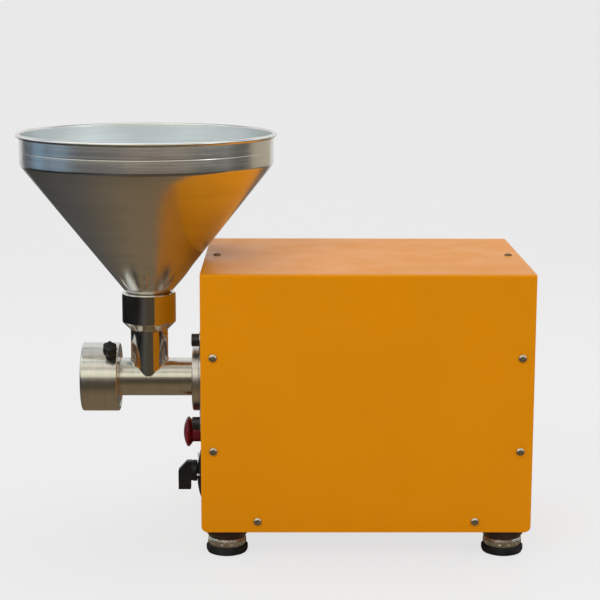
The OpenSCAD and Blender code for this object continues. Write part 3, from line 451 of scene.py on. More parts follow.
def make_finishes():
    """Every finish of the machine, by its material slot in the record, and some that share a slot."""
    steel = look("steel")
    controls = look("controls")
    drive = (0, 0, AXIS_Z)
    feed = (FEED_X, 0, 0)
    FINISHES.update(
        orange_paint=powder_coat("orange_paint", tuple(look("casing").paint)),
        satin_steel=lathe_steel("turned_steel", tuple(steel.turned), "X", drive, 0.22, brushed=0.35),
        polished_steel=lathe_steel("polished_barrel", tuple(steel.polished), "X", drive, 0.17, brushed=0.25),
        polished_feed=lathe_steel("polished_feed", tuple(steel.polished), "Z", feed, 0.10, fineness=500.0),
        spun_hopper=lathe_steel(
            "spun_hopper", tuple(steel.spun), "Z", feed, 0.20, fineness=700.0, brushed=0.45
        ),
        # the inside's rougher finish is its own; its cooler, bluish tone is painted reflection of the sky
        hopper_inside=lathe_steel(
            "hopper_inside", (0.72, 0.76, 0.775), "Z", feed, 0.34, fineness=700.0, brushed=0.3
        ),
        bright_screws=plated("bright_screws", (0.66, 0.61, 0.50), 0.24),
        top_screws=plated("top_screws", (0.16, 0.10, 0.045), 0.4, 0.6),
        dark_screws=plated("dark_screws", (0.035, 0.035, 0.035), 0.38, 0.7),
        zinc_steel=plated("zinc_steel", (0.50, 0.51, 0.52), 0.36),
        foot_steel=plated("foot_steel", (0.66, 0.64, 0.61), 0.24),
        burr_steel=lathe_steel("ground_burr_steel", (0.34, 0.34, 0.34), "X", drive, 0.34, fineness=1500.0),
        bearing_steel=plated("bearing_steel", (0.66, 0.66, 0.68), 0.16),
        cast_grey=cast_metal("cast_grey", (0.16, 0.165, 0.17)),
        motor_aluminium=cast_metal("motor_aluminium", (0.42, 0.43, 0.45), 0.42, 1.0),
        motor_paint=moulded("motor_paint", (0.07, 0.09, 0.11), 0.42),
        copper_wire=wound_copper("copper_wire"),
        brass_pins=plated("brass_pins", (0.72, 0.52, 0.20), 0.25),
        black_rubber=moulded_rubber("black_rubber", (0.004, 0.004, 0.004)),
        red_rubber=moulded_rubber("red_rubber", (0.30, 0.03, 0.02)),
        black_plastic=moulded("black_plastic", tuple(controls.black), 0.42),
        # the foot collar's dark colour is partly its own; its reddish-brown tint is painted shade under the
        # casing and painted reflection of the orange paint
        dark_collar=moulded("dark_collar", (0.030, 0.012, 0.007), 0.35),
        red_plastic=moulded("red_plastic", tuple(controls.red), 0.30, 300.0, 0.00003, 0.2),
        pale_plastic=moulded("pale_plastic", (0.55, 0.55, 0.52), 0.45),
        grey_plastic=moulded("grey_plastic", (0.10, 0.11, 0.12), 0.45),
        mark_paint=moulded("mark_paint", tuple(controls.mark), 0.5),
    )


# ---- outlines and meshes ----


def rounded(outline, radius, steps=5):
    """A closed outline with its corners turned into arcs. A corner may carry its own radius as a
    third number, and one on the axis of a turned shape stays sharp."""
    straight = math.radians(176)
    tiny = 1e-9
    longest = 0.49
    done = []
    for i, corner in enumerate(outline):
        here = Vector(corner[:2])
        back = Vector(outline[i - 1][:2]) - here
        ahead = Vector(outline[(i + 1) % len(outline)][:2]) - here
        wanted = corner[2] if len(corner) > 2 else radius
        if wanted <= 0 or min(abs(here.x), back.length, ahead.length) < tiny:
            done.append(here)
            continue
        angle = back.angle(ahead)
        if angle > straight:
            done.append(here)
            continue
        cut = min(wanted / math.tan(angle / 2), back.length * longest, ahead.length * longest)
        start = here + back.normalized() * cut
        end = here + ahead.normalized() * cut
        centre = here + (back.normalized() + ahead.normalized()).normalized() * (cut / math.cos(angle / 2))
        first = start - centre
        turn = first.angle_signed(end - centre)
        for k in range(steps + 1):
            spun = Matrix.Rotation(-turn * k / steps, 2) @ first
            done.append(centre + spun)
    return done


def arc(centre, radius, start, end, steps):
    """Points on an arc, angles in degrees counted from the first axis."""
    points = []
    for k in range(steps + 1):
        a = math.radians(start + (end - start) * k / steps)
        points.append(Vector((centre[0] + radius * math.cos(a), centre[1] + radius * math.sin(a))))
    return points


def on_circle(radius, angle, height=0.0):
    """A point round local Z, by its radius, its angle in radians and its height."""
    return Vector((radius * math.cos(angle), radius * math.sin(angle), height))


def round_ring(bm, steps, spot):
    """New vertices all round a circle, each placed by a function of its angle."""
    return [bm.verts.new(spot(FULL_TURN * k / steps)) for k in range(steps)]


def skinned(bm, rows, closed=False):
    """Faces between neighbouring rings, and from the last ring to the first in a closed skin."""
    followers = rows[1:] + rows[:1] if closed else rows[1:]
    for first, second in zip(rows, followers):
        for k in range(len(first)):
            m = (k + 1) % len(first)
            bm.faces.new((first[k], first[m], second[m], second[k]))


def lathe(bm, outline, place, steps):
    """Turns a closed outline of (radius, height) points about local Z."""
    rings = []
    for point in outline:
        if point[0] < 1e-7:
            rings.append([bm.verts.new(place @ Vector((0, 0, point[1])))])
            continue
        rings.append(round_ring(bm, steps, lambda a: place @ on_circle(point[0], a, point[1])))
    for i, ring in enumerate(rings):
        following = rings[(i + 1) % len(rings)]
        if len(ring) == 1 and len(following) == 1:
            continue
        for k in range(steps):
            m = (k + 1) % steps
            if len(ring) == 1:
                bm.faces.new((ring[0], following[m], following[k]))
            elif len(following) == 1:
                bm.faces.new((ring[k], ring[m], following[0]))
            else:
                bm.faces.new((ring[k], ring[m], following[m], following[k]))


def rod(reach, start, end):
    """The outline of a plain round rod, as a cutter for a drilled hole."""
    return [Vector((0, start)), Vector((reach, start)), Vector((reach, end)), Vector((0, end))]


def prism(bm, outline, place, depth):
    """Pushes a flat outline from local z = 0 to depth."""
    bottom = [bm.verts.new(place @ Vector((p[0], p[1], 0))) for p in outline]
    top = [bm.verts.new(place @ Vector((p[0], p[1], depth))) for p in outline]
    bm.faces.new(bottom[::-1])
    bm.faces.new(top)
    for i in range(len(outline)):
        m = (i + 1) % len(outline)
        bm.faces.new((bottom[i], bottom[m], top[m], top[i]))


def loose(name, bm, outwards=True):
    """An object from a bmesh, its faces pointing outwards."""
    bmesh.ops.remove_doubles(bm, verts=bm.verts, dist=1e-7)
    if outwards:
        bmesh.ops.recalc_face_normals(bm, faces=bm.faces)
    mesh = bpy.data.meshes.new(name)
    bm.to_mesh(mesh)
    bm.free()
    thing = bpy.data.objects.new(name, mesh)
    bpy.context.scene.collection.objects.link(thing)
    return thing


def block(name, centre, millimetres):
    """A plain block by its centre and its three sizes."""
    bm = bmesh.new()
    bmesh.ops.create_cube(bm, size=1.0)
    for v in bm.verts:
        v.co = Vector(centre) + Vector([share * size for share, size in zip(v.co, millimetres)]) * MM
    return loose(name, bm)


def smoothed(thing, sharp=32.0):
    """Smooth shading, broken at edges sharper than an angle in degrees."""
    thing.data.shade_smooth()
    thing.data.set_sharp_from_angle(angle=math.radians(sharp))


def even_normals(thing):
    """Keeps flat faces flat beside their rounded edges."""
    even = thing.modifiers.new("even", "WEIGHTED_NORMAL")
    even.mode = "FACE_AREA_WITH_ANGLE"
    even.weight = 80
    even.keep_sharp = True
    applied(thing)


def applied(thing):
    """Bakes the object's modifiers into its mesh."""
    graph = bpy.context.evaluated_depsgraph_get()
    mesh = bpy.data.meshes.new_from_object(thing.evaluated_get(graph))
    thing.modifiers.clear()
    thing.data = mesh


def cut_with(thing, cutter):
    """Takes one closed object away from another, and deletes the cutter."""
    tool = thing.modifiers.new("cut", "BOOLEAN")
    tool.operation = "DIFFERENCE"
    tool.solver = "EXACT"
    tool.object = cutter
    applied(thing)
    bpy.data.objects.remove(cutter)


def bevelled(thing, width, segments=3, limit=30.0):
    """Rounds every edge sharper than the limit in degrees."""
    edge = thing.modifiers.new("edges", "BEVEL")
    edge.width = width
    edge.segments = segments
    edge.limit_method = "ANGLE"
    edge.angle_limit = math.radians(limit)
    applied(thing)


def dress(thing, body, slot, *nodes, finish=None, sharp=32.0):
    """Gives a finished piece the material of its finish or slot, its shading and its body, and hides the
    nodes that it stands for.
    """
    thing.data.materials.clear()
    thing.data.materials.append(FINISHES[finish or slot])
    smoothed(thing, sharp)
    even_normals(thing)
    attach(thing, body)
    if nodes:
        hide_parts(*nodes)


def turned(name, outline, place, radius, steps):
    """A turned shape from its outline, without a finish yet."""
    bm = bmesh.new()
    lathe(bm, rounded(outline, radius), place, steps)
    return loose(name, bm)


def refined(name, node, body, slot, edge):
    """The node's own shape with its cut edges rounded."""
    bm = bmesh.new()
    bm.from_mesh(frame["nodes"][node].data)
    bmesh.ops.remove_doubles(bm, verts=bm.verts, dist=1e-6)
    bmesh.ops.dissolve_limit(bm, angle_limit=math.radians(0.5), verts=bm.verts, edges=bm.edges)
    thing = loose(name, bm, outwards=False)
    bevelled(thing, edge, 2)
    dress(thing, body, slot, node)


# ---- geometry nodes for what repeats ----


def socket_id(tree, name):
    """The identifier of a group input, which a modifier's value is set by."""
    return next(item.identifier for item in tree.interface.items_tree if item.name == name)


def repeat_tree():
    """Puts a copy of one piece on every point, its +Z along the point's own direction."""
    tree = bpy.data.node_groups.new("repeat_on_points", "GeometryNodeTree")
    face = tree.interface
    given = {
        "Geometry": "NodeSocketGeometry",
        "Piece": "NodeSocketObject",
        "Size": "NodeSocketFloat",
        "Spin": "NodeSocketFloat",
        "Seed": "NodeSocketInt",
        "Finish": "NodeSocketMaterial",
    }
    for name, kind in given.items():
        face.new_socket(name, in_out="INPUT", socket_type=kind)
    face.new_socket("Geometry", in_out="OUTPUT", socket_type="NodeSocketGeometry")
    nodes, links = tree.nodes, tree.links
    source = nodes.new("NodeGroupInput")
    result = nodes.new("NodeGroupOutput")
    points = nodes.new("GeometryNodeMeshToPoints")
    links.new(source.outputs["Geometry"], points.inputs["Mesh"])
    direction = nodes.new("GeometryNodeInputNamedAttribute")
    direction.data_type = "FLOAT_VECTOR"
    direction.inputs["Name"].default_value = "outward"
    aim = nodes.new("FunctionNodeAlignRotationToVector")
    aim.axis = "Z"
    links.new(direction.outputs["Attribute"], aim.inputs["Vector"])
    chance = nodes.new("FunctionNodeRandomValue")
    chance.data_type = "FLOAT"
    random_inputs = [s for s in chance.inputs if s.enabled]
    links.new(source.outputs["Spin"], random_inputs[1])
    links.new(source.outputs["Seed"], chance.inputs["Seed"])
    spin = nodes.new("FunctionNodeAxisAngleToRotation")
    spin.inputs["Axis"].default_value = (0, 0, 1)
    random_output = next(s for s in chance.outputs if s.enabled)
    links.new(random_output, spin.inputs["Angle"])
    both = nodes.new("FunctionNodeRotateRotation")
    both.rotation_space = "LOCAL"
    links.new(aim.outputs["Rotation"], both.inputs["Rotation"])
    links.new(spin.outputs["Rotation"], both.inputs["Rotate By"])
    info = nodes.new("GeometryNodeObjectInfo")
    info.transform_space = "ORIGINAL"
    links.new(source.outputs["Piece"], info.inputs["Object"])
    copies = nodes.new("GeometryNodeInstanceOnPoints")
    links.new(points.outputs["Points"], copies.inputs["Points"])
    links.new(info.outputs["Geometry"], copies.inputs["Instance"])
    links.new(both.outputs["Rotation"], copies.inputs["Rotation"])
    links.new(source.outputs["Size"], copies.inputs["Scale"])
    real = nodes.new("GeometryNodeRealizeInstances")
    links.new(copies.outputs["Instances"], real.inputs["Geometry"])
    painted = nodes.new("GeometryNodeSetMaterial")
    links.new(real.outputs["Geometry"], painted.inputs["Geometry"])
    links.new(source.outputs["Finish"], painted.inputs["Material"])
    links.new(painted.outputs["Geometry"], result.inputs["Geometry"])
    return tree


def repeated(name, piece, places, body, slot, node, finish=None, spin=0.0, seed=3):
    """Copies of a piece at (point, direction) places, each spun by chance, as one plain mesh."""
    tree = bpy.data.node_groups.get("repeat_on_points") or repeat_tree()
    mesh = bpy.data.meshes.new(name)
    mesh.from_pydata([place[0] for place in places], [], [])
    outward = mesh.attributes.new("outward", "FLOAT_VECTOR", "POINT")
    outward.data.foreach_set("vector", [x for place in places for x in place[1]])
    carrier = bpy.data.objects.new(name, mesh)
    bpy.context.scene.collection.objects.link(carrier)
    modifier = carrier.modifiers.new("repeat", "NODES")
    modifier.node_group = tree
    modifier[socket_id(tree, "Piece")] = piece
    modifier[socket_id(tree, "Size")] = 1.0
    modifier[socket_id(tree, "Spin")] = spin
    modifier[socket_id(tree, "Seed")] = seed
    modifier[socket_id(tree, "Finish")] = FINISHES[finish or slot]
    applied(carrier)
    bpy.data.objects.remove(piece)
    dress(carrier, body, slot, node, finish=finish)


def solid_boxes(node):
    """The lowest and highest corner of each of a node's separate solids."""
    bm = bmesh.new()
    bm.from_mesh(frame["nodes"][node].data)
    bmesh.ops.remove_doubles(bm, verts=bm.verts, dist=1e-6)
    seen = set()
    boxes = []
    for start in bm.verts:
        if start in seen:
            continue
        stack, members = [start], []
        seen.add(start)
        while stack:
            v = stack.pop()
            members.append(v.co.copy())
            for e in v.link_edges:
                other = e.other_vert(v)
                if other not in seen:
                    seen.add(other)
                    stack.append(other)
        least = Vector([min(p[i] for p in members) for i in range(3)])
        most = Vector([max(p[i] for p in members) for i in range(3)])
        boxes.append((least, most))
    bm.free()
    return boxes


def solid_middles(node):
    """The middle of each of a node's separate solids."""
    return [(least + most) / 2 for least, most in solid_boxes(node)]


def solid_radius(node, axis="x"):
    """Half the width of the first of a node's equal solids."""
    least, most = solid_boxes(node)[0]
    return (getattr(most, axis) - getattr(least, axis)) / 2


def upright_places(node, height):
    """Places at the middle of each of a node's solids, at one height, facing up."""
    return [(Vector((spot.x, spot.y, height)), UP) for spot in solid_middles(node)]


def level_places(node, x, way):
    """Places at the middle of each of a node's solids, at one x, facing along the machine."""
    return [(Vector((x, spot.y, spot.z)), way) for spot in solid_middles(node)]


# ---- the casing ----


def cover_outline(bend, inset):
    """The cover's section across the machine, from one lower edge over the top to the other."""
    half = CASING_HIGH.y - inset
    top = CASING_HIGH.z - inset
    r = max(bend - inset, 0.4 * MM)
    left = arc((-half + r, top - r), r, 180, 90, 8)
    right = arc((half - r, top - r), r, 90, 0, 8)
    return [Vector((-half, CASING_LOW.z)), *left, *right, Vector((half, CASING_LOW.z))]


def casing_cover():
    """The U-shaped cover: two sides and the top, bent from one sheet, with rounded lower corners."""
    casing = look("casing")
    outer = cover_outline(casing.bend, 0)
    inner = cover_outline(casing.bend, casing.sheet)
    section = outer + inner[::-1]
    bm = bmesh.new()
    # the section lies in y and z, and is pushed from the front panel to the rear one
    stand = Matrix(((0, 0, 1, FRONT_X), (1, 0, 0, 0), (0, 1, 0, 0), (0, 0, 0, 1)))
    prism(bm, section, stand, REAR_X - FRONT_X)
    thing = loose("casing_cover", bm)
    for x, way in ((FRONT_X, 1), (REAR_X, -1)):
        cut_with(thing, lower_corner(x, way, casing.corner))
    bevelled(thing, casing.edge, 3)
    dress(thing, "casing", "orange_paint", "cover")


def lower_corner(x, way, radius):
    """What is cut off to round one lower corner of the side walls, right across the machine."""
    base = CASING_LOW.z
    past = 4 * MM
    curve = arc((x + way * radius, base + radius), radius, *((180, 270) if way > 0 else (0, -90)), 8)
    outline = [*curve, Vector((x + way * radius, base - past)), Vector((x - way * past, base - past))]
    outline.append(Vector((x - way * past, base + radius)))
    half_span = 400 * MM
    bm = bmesh.new()
    prism(bm, outline, side_on(-half_span), 2 * half_span)
    return loose("corner_cutter", bm)


class GRINDER_OT_casing(bpy.types.Operator):
    """Builds the painted cover, the end panels and the base"""

    bl_idname = "grinder.casing"
    bl_label = "Casing"

    def execute(self, context):
        casing_cover()
        edge = look("casing").edge
        refined("front_panel_sheet", "front_panel", "casing", "orange_paint", edge)
        refined("rear_panel_sheet", "rear_panel", "casing", "orange_paint", edge)
        refined("base_sheet", "base_plate", "casing", "orange_paint", edge * 0.6)
        return {"FINISHED"}


# ---- screws ----


def pan_head(reach, height, shank):
    """A pan head screw with a cross recess, seated at the origin, its head towards +Z."""
    screws = look("screws")
    profile = [
        (0, -shank * 0.5),
        (reach * 0.42, -shank * 0.5),
        (reach * 0.42, 0),
        (reach, 0, 0.1 * MM),
        (reach, height * 0.45, screws.crown),
        (reach * 0.7, height * 0.93, reach * 0.6),
        (0, height),
    ]
    head = turned("pan_head", profile, AT_ORIGIN, 0.1 * MM, 40)
    arm = reach * 0.56
    half = screws.recess / 2
    for turn in (0, QUARTER):
        cutter = bmesh.new()
        bmesh.ops.create_cube(cutter, size=1.0)
        for v in cutter.verts:
            flare = 1.0 if v.co.z > 0 else 0.45
            squeezed = 1.0 if v.co.z > 0 else 0.6
            v.co = Vector((v.co.x * 2 * arm * flare, v.co.y * 2 * half * squeezed, v.co.z))
            v.co.z = height - screws.recess_depth if v.co.z < 0 else height * 1.4
        bmesh.ops.rotate(cutter, verts=cutter.verts, matrix=Matrix.Rotation(turn, 3, "Z"))
        cut_with(head, loose("recess_cutter", cutter))
    return head


class GRINDER_OT_screws(bpy.types.Operator):
    """Puts the pan head screws in the casing's sides and top"""

    bl_idname = "grinder.screws"
    bl_label = "Casing screws"

    def execute(self, context):
        places = []
        for spot in solid_middles("cover_screws"):
            side = math.copysign(1, spot.y)
            places.append((Vector((spot.x, side * CASING_HIGH.y, spot.z)), Vector((0, side, 0))))
        reach = solid_radius("cover_screws")
        height = high("cover_screws").y - CASING_HIGH.y
        shank = 6 * MM
        head = pan_head(reach, height, shank)
        repeated(
            "side_screw_heads", head, places, "casing", "bright_screws", "cover_screws",
            spin=FULL_TURN, seed=5,
        )
        places = upright_places("top_screws", CASING_HIGH.z)
        height = high("top_screws").z - CASING_HIGH.z
        head = pan_head(reach, height, shank)
        repeated(
            "top_screw_heads", head, places, "casing", "dark_screws", "top_screws",
            finish="top_screws", spin=FULL_TURN, seed=8,
        )
        return {"FINISHED"}


# ---- feet ----

# Radius of the hole that the foot's bolt runs through
FOOT_BORE = 4.3 * MM


def foot_pad(reach, top):
    """The rubber pad: a squat turned ring with a tapered foot and a rolled upper edge."""
    bore = 7.4 * MM
    outline = [
        (bore, 0, 0.3 * MM),
        (reach * 0.80, 0, 0.6 * MM),
        (reach * 0.94, top * 0.13, 1.0 * MM),
        (reach, top * 0.45, 1.2 * MM),
        (reach, top - 1.2 * MM, 0.8 * MM),
        (reach - 1.6 * MM, top, 0.4 * MM),
        (bore, top),
    ]
    return turned("pad", outline, AT_ORIGIN, 0.2 * MM, 96)


def foot_ring(reach, bottom, top):
    """The castellated metal ring: a turned band with sunk notches all round its lower part."""
    outline = [
        (FOOT_BORE, bottom),
        (reach - 1.0 * MM, bottom, 0.3 * MM),
        (reach - 1.0 * MM, bottom + 1.5 * MM, 0.2 * MM),
        (reach, bottom + 1.9 * MM, 0.3 * MM),
        (reach, top - 2.6 * MM, 0.3 * MM),
        (reach - 0.9 * MM, top - 2.1 * MM, 0.2 * MM),
        (reach - 0.2 * MM, top - 1.2 * MM, 0.5 * MM),
        (reach - 1.2 * MM, top, 0.5 * MM),
        (FOOT_BORE, top),
    ]
    ring = turned("ring", outline, AT_ORIGIN, 0.2 * MM, 96)
    notches = 12
    sunk, outer, side = 1.7 * MM, 1.4 * MM, 1.7 * MM
    outline = rounded([(-sunk, -side), (outer, -side), (outer, side), (-sunk, side)], 0.5 * MM, 3)
    notch_foot = bottom + 2.4 * MM
    notch_height = top - bottom - 5.4 * MM
    cutter = bmesh.new()
    for k in range(notches):
        facing = Matrix.Rotation((k + 0.5) * FULL_TURN / notches, 4, "Z")
        prism(cutter, outline, facing @ Matrix.Translation((reach, 0, notch_foot)), notch_height)
    cut_with(ring, loose("notch_cutter", cutter))
    return ring


def foot_collar(low_reach, high_reach, bottom, top):
    """The collar: a cone that widens up to the casing's base. It is a dark part, and its reddish-brown tint
    is painted shade from under the casing with a painted reflection of the orange paint.
    """
    outline = [
        (FOOT_BORE, bottom),
        (low_reach, bottom, 0.5 * MM),
        (low_reach + 0.4 * MM, bottom + 1.2 * MM, 1.0 * MM),
        (high_reach, bottom + 5.6 * MM, 1.6 * MM),
        (high_reach, top, 0.4 * MM),
        (FOOT_BORE, top),
    ]
    return turned("collar", outline, AT_ORIGIN, 0.3 * MM, 96)


class GRINDER_OT_feet(bpy.types.Operator):
    """Builds the rubber pads, castellated rings and collars of the feet"""

    bl_idname = "grinder.feet"
    bl_label = "Feet"

    def execute(self, context):
        places = upright_places("foot_pads", 0)
        pad_reach = solid_radius("foot_pads")
        ring_reach = solid_radius("foot_rings")
        collar_reach = solid_radius("foot_collars")
        pad_top = high("foot_pads").z
        ring_top = high("foot_rings").z
        collar_top = high("foot_collars").z
        pad = foot_pad(pad_reach, pad_top)
        repeated("foot_pad_rubbers", pad, places, "casing", "black_rubber", "foot_pads")
        ring = foot_ring(ring_reach, pad_top, ring_top)
        repeated(
            "foot_ring_metal", ring, places, "casing", "polished_steel", "foot_rings", finish="foot_steel"
        )
        collar = foot_collar(collar_reach * 0.84, collar_reach, ring_top, collar_top)
        repeated("foot_collar_cones", collar, places, "casing", "dark_collar", "foot_collars")
        return {"FINISHED"}


# ---- hopper ----


def offset_line(points, distance):
    """A line moved sideways, to the left of its direction."""
    moved = []
    for i, p in enumerate(points):
        before = points[max(i - 1, 0)]
        after = points[min(i + 1, len(points) - 1)]
        along = (Vector(after) - Vector(before)).normalized()
        moved.append(Vector(p) + Vector((-along.y, along.x)) * distance)
    return moved


def hopper_sheet():
    """The spun hopper: cone, pressed step, straight band and rolled rim, with flutes near its foot."""
    hopper = look("hopper")
    rim_reach = radius_of("hopper_bowl", "x")
    bead = hopper.bead / 2
    band_reach = rim_reach - 2 * bead + hopper.wall
    bead_z = high("hopper_bowl").z - bead
    band_foot = bead_z - hopper.band_height
    foot_reach = radius_of("hopper_spigot", "x")
    foot_z = high("hopper_spigot").z
    half = hopper.wall / 2
    band_line = band_reach - half
    low_point = Vector((foot_reach - half, foot_z + 0.2 * MM))
    shoulder = Vector((band_line, band_foot))
    steps = 40
    middle_line = [low_point.lerp(shoulder, k / steps * 0.985) for k in range(steps)]
    # the pressed step: how far inside the band, and how far above its foot, in millimetres
    for inside, rise in ((1.1, -1.0), (0.45, -0.1), (0.1, 1.0), (0.0, 2.4)):
        middle_line.append(Vector((band_line - inside * MM, band_foot + rise * MM)))
    # a shallow rolled groove half-way up the band
    groove = 0.15 * MM
    for share, depth in ((0.46, 0), (0.48, groove), (0.50, groove), (0.52, 0)):
        middle_line.append(Vector((band_line - depth, band_foot + hopper.band_height * share)))
    middle_line.append(Vector((band_line, bead_z - 2.6 * MM)))
    middle_line += arc((rim_reach - bead, bead_z), bead - half, 180, -120, 20)
    outline = offset_line(middle_line, half * 0.999) + offset_line(middle_line, -half * 0.999)[::-1]
    bm = bmesh.new()
    lathe(bm, outline, ABOUT_FEED, 288)
    raise_flutes(bm, hopper, foot_z)
    thing = loose("hopper_spun_sheet", bm)
    dress(thing, "hopper", "polished_steel", "hopper_bowl", finish="spun_hopper", sharp=50)
    # inner faces below the rim take the inside finish, whose cooler tone is painted reflection of the sky
    thing.data.materials.append(FINISHES["hopper_inside"])
    for face in thing.data.polygons:
        inward = face.normal.x * (FEED_X - face.center.x) - face.normal.y * face.center.y
        if inward > 0 and face.center.z < bead_z:
            face.material_index = 1


def raise_flutes(bm, hopper, foot_z):
    """Presses narrow upright flutes outwards near the cone's foot."""
    if hopper.flutes < 1:
        return
    start = foot_z + 8.0 * MM
    width = 2.1 * MM
    for v in bm.verts:
        rise = v.co.z - start
        if rise < 0 or rise > hopper.flute_length:
            continue
        flat = Vector((v.co.x - FEED_X, v.co.y))
        count = math.atan2(flat.y, flat.x) / FULL_TURN * hopper.flutes
        away = abs(count - round(count)) / hopper.flutes * FULL_TURN * flat.length
        share = max(0.0, 1 - away / width)
        ends = math.sin(math.pi * rise / hopper.flute_length)
        lift = hopper.flute_height * (share * share * (3 - 2 * share)) * ends
        outward = flat.normalized() * lift
        v.co.x += outward.x
        v.co.y += outward.y


def hopper_neck():
    """The spigot welded under the cone, a plain tube with a rounded lower edge."""
    reach = radius_of("hopper_spigot", "x")
    bottom, top = low("hopper_spigot").z, high("hopper_spigot").z
    wall = look("hopper").wall
    outline = [
        (reach - wall, bottom),
        (reach - 0.35 * MM, bottom, 0.3 * MM),
        (reach, bottom + 0.6 * MM, 0.4 * MM),
        (reach, top),
        (reach - wall, top),
    ]
    tube = turned("hopper_spigot_tube", outline, ABOUT_FEED, 0.15 * MM, 96)
    dress(tube, "hopper", "polished_steel", "hopper_spigot", finish="polished_feed")


class GRINDER_OT_hopper(bpy.types.Operator):
    """Builds the spun steel hopper with its rolled rim and its spigot"""

    bl_idname = "grinder.hopper"
    bl_label = "Hopper"

    def execute(self, context):
        hopper_sheet()
        hopper_neck()
        return {"FINISHED"}


# ---- feed tube, barrel and flange ----


def feed_tube():
    """The upright tube, its foot cut to the barrel and blended onto it by a weld fillet."""
    reach = radius_of("feed_tube", "x")
    bore = look("feed").bore
    barrel_reach = radius_of("barrel_tube")
    top = high("feed_tube").z
    steps = 160
    bm = bmesh.new()

    def weld(a, flare, rise):
        """The weld's skin, by how far it stands out of the tube and above the barrel."""
        r = reach + flare * MM * abs(math.cos(a))
        y = r * math.sin(a)
        saddle = math.sqrt(barrel_reach**2 - min(abs(y), barrel_reach * 0.995) ** 2)
        return (FEED_X + r * math.cos(a), y, AXIS_Z + saddle + rise * MM - 0.1 * MM)

    def on_feed(r, a, z):
        """A point round the feed tube's axis."""
        return ABOUT_FEED @ on_circle(r, a, z)

    def mouth(a):
        """The bore's lower end, on a barrel-shaped cut."""
        saddle = math.sqrt(barrel_reach**2 - (bore * math.sin(a)) ** 2)
        return on_feed(bore, a, AXIS_Z + saddle - 2.0 * MM)

    # how far the weld stands out of the tube, and how high above the barrel, in millimetres
    fillet = [(1.8, 0.0), (1.1, 0.15), (0.6, 0.5), (0.25, 1.05), (0.07, 1.7), (0.0, 2.4)]
    rows = [round_ring(bm, steps, lambda a: weld(a, flare, rise)) for flare, rise in fillet]
    rows += [round_ring(bm, steps, lambda a: on_feed(r, a, top)) for r in (reach, bore)]
    rows.append(round_ring(bm, steps, mouth))
    skinned(bm, rows, closed=True)
    tube = loose("feed_tube_upright", bm)
    dress(tube, "casing", "polished_steel", "feed_tube", finish="polished_feed", sharp=40)


def hopper_socket():
    """The polished socket: coned foot, straight wall, and a rounded lip that the cone seats on."""
    bottom, top = low("hopper_socket").z, high("hopper_socket").z
    reach = radius_of("hopper_socket", "x")
    tube = radius_of("feed_tube", "x")
    bore = radius_of("hopper_spigot", "x") + 0.2 * MM
    wall_foot = bottom + reach - tube
    ledge = low("hopper_spigot").z - 1.4 * MM
    feed_bore = look("feed").bore
    outline = [
        (feed_bore, bottom),
        (tube, bottom, 1.2 * MM),
        (reach, wall_foot, 2.2 * MM),
        (reach, top - 1.1 * MM, 0.9 * MM),
        (reach - 1.2 * MM, top, 0.7 * MM),
        (reach - 3.6 * MM, top, 0.4 * MM),
        (bore, high("hopper_spigot").z - 0.9 * MM, 0.2 * MM),
        (bore, ledge),
        (feed_bore, ledge),
    ]
    cup = turned("hopper_socket_cup", outline, ABOUT_FEED, 0.15 * MM, 144)
    dress(cup, "casing", "polished_steel", "hopper_socket", finish="polished_feed")


def barrel():
    """The horizontal barrel, with the opening under the feed tube cut through its wall."""
    front, back = low("barrel_tube").x, high("barrel_tube").x
    reach = radius_of("barrel_tube")
    bore = reach - look("feed").barrel_wall
    outline = [(bore, front), (reach, front, 0.4 * MM), (reach, back, 0.4 * MM), (bore, back)]
    thing = turned("feed_barrel_tube", outline, ABOUT_DRIVE, 0.3 * MM, 128)
    hole = bmesh.new()
    lathe(hole, rod(look("feed").bore - 0.1 * MM, AXIS_Z, AXIS_Z + 40 * MM), ABOUT_FEED, 64)
    cut_with(thing, loose("feed_cutter", hole))
    grub = middle("barrel_grub_screw")
    outward = Vector((0, grub.y, grub.z - AXIS_Z)).normalized()
    well = bmesh.new()
    leaning = outward.to_track_quat("Z", "Y").to_matrix().to_4x4()
    place = Matrix.Translation(grub - outward * 4 * MM) @ leaning
    lathe(well, rod(2.15 * MM, 0, 10 * MM), place, 32)
    cut_with(thing, loose("grub_cutter", well))
    dress(thing, "casing", "polished_steel", "barrel_tube")


def flange_outline(ear_radius, screws, hub):
    """The three-eared foot of the flange, as a flat outline with filleted necks."""
    ear_steps, web_steps = 12, 16
    # half the arc that an ear's tip covers, and how far past the ear's middle the web starts
    half_sweep = math.radians(73.4592)
    ear_lead = 0.42
    web_reach = hub + 3.0 * MM
    order = sorted(screws)
    points = []
    for i, (angle, reach) in enumerate(order):
        for k in range(ear_steps + 1):
            a = angle - half_sweep + 2 * half_sweep * k / ear_steps
            points.append(on_circle(reach, angle) + on_circle(ear_radius, a))
        following = order[(i + 1) % len(order)][0]
        if following <= angle:
            following += FULL_TURN
        span = following - angle - 2 * ear_lead
        for k in range(web_steps + 1):
            points.append(on_circle(web_reach, angle + ear_lead + span * k / web_steps))
    return points


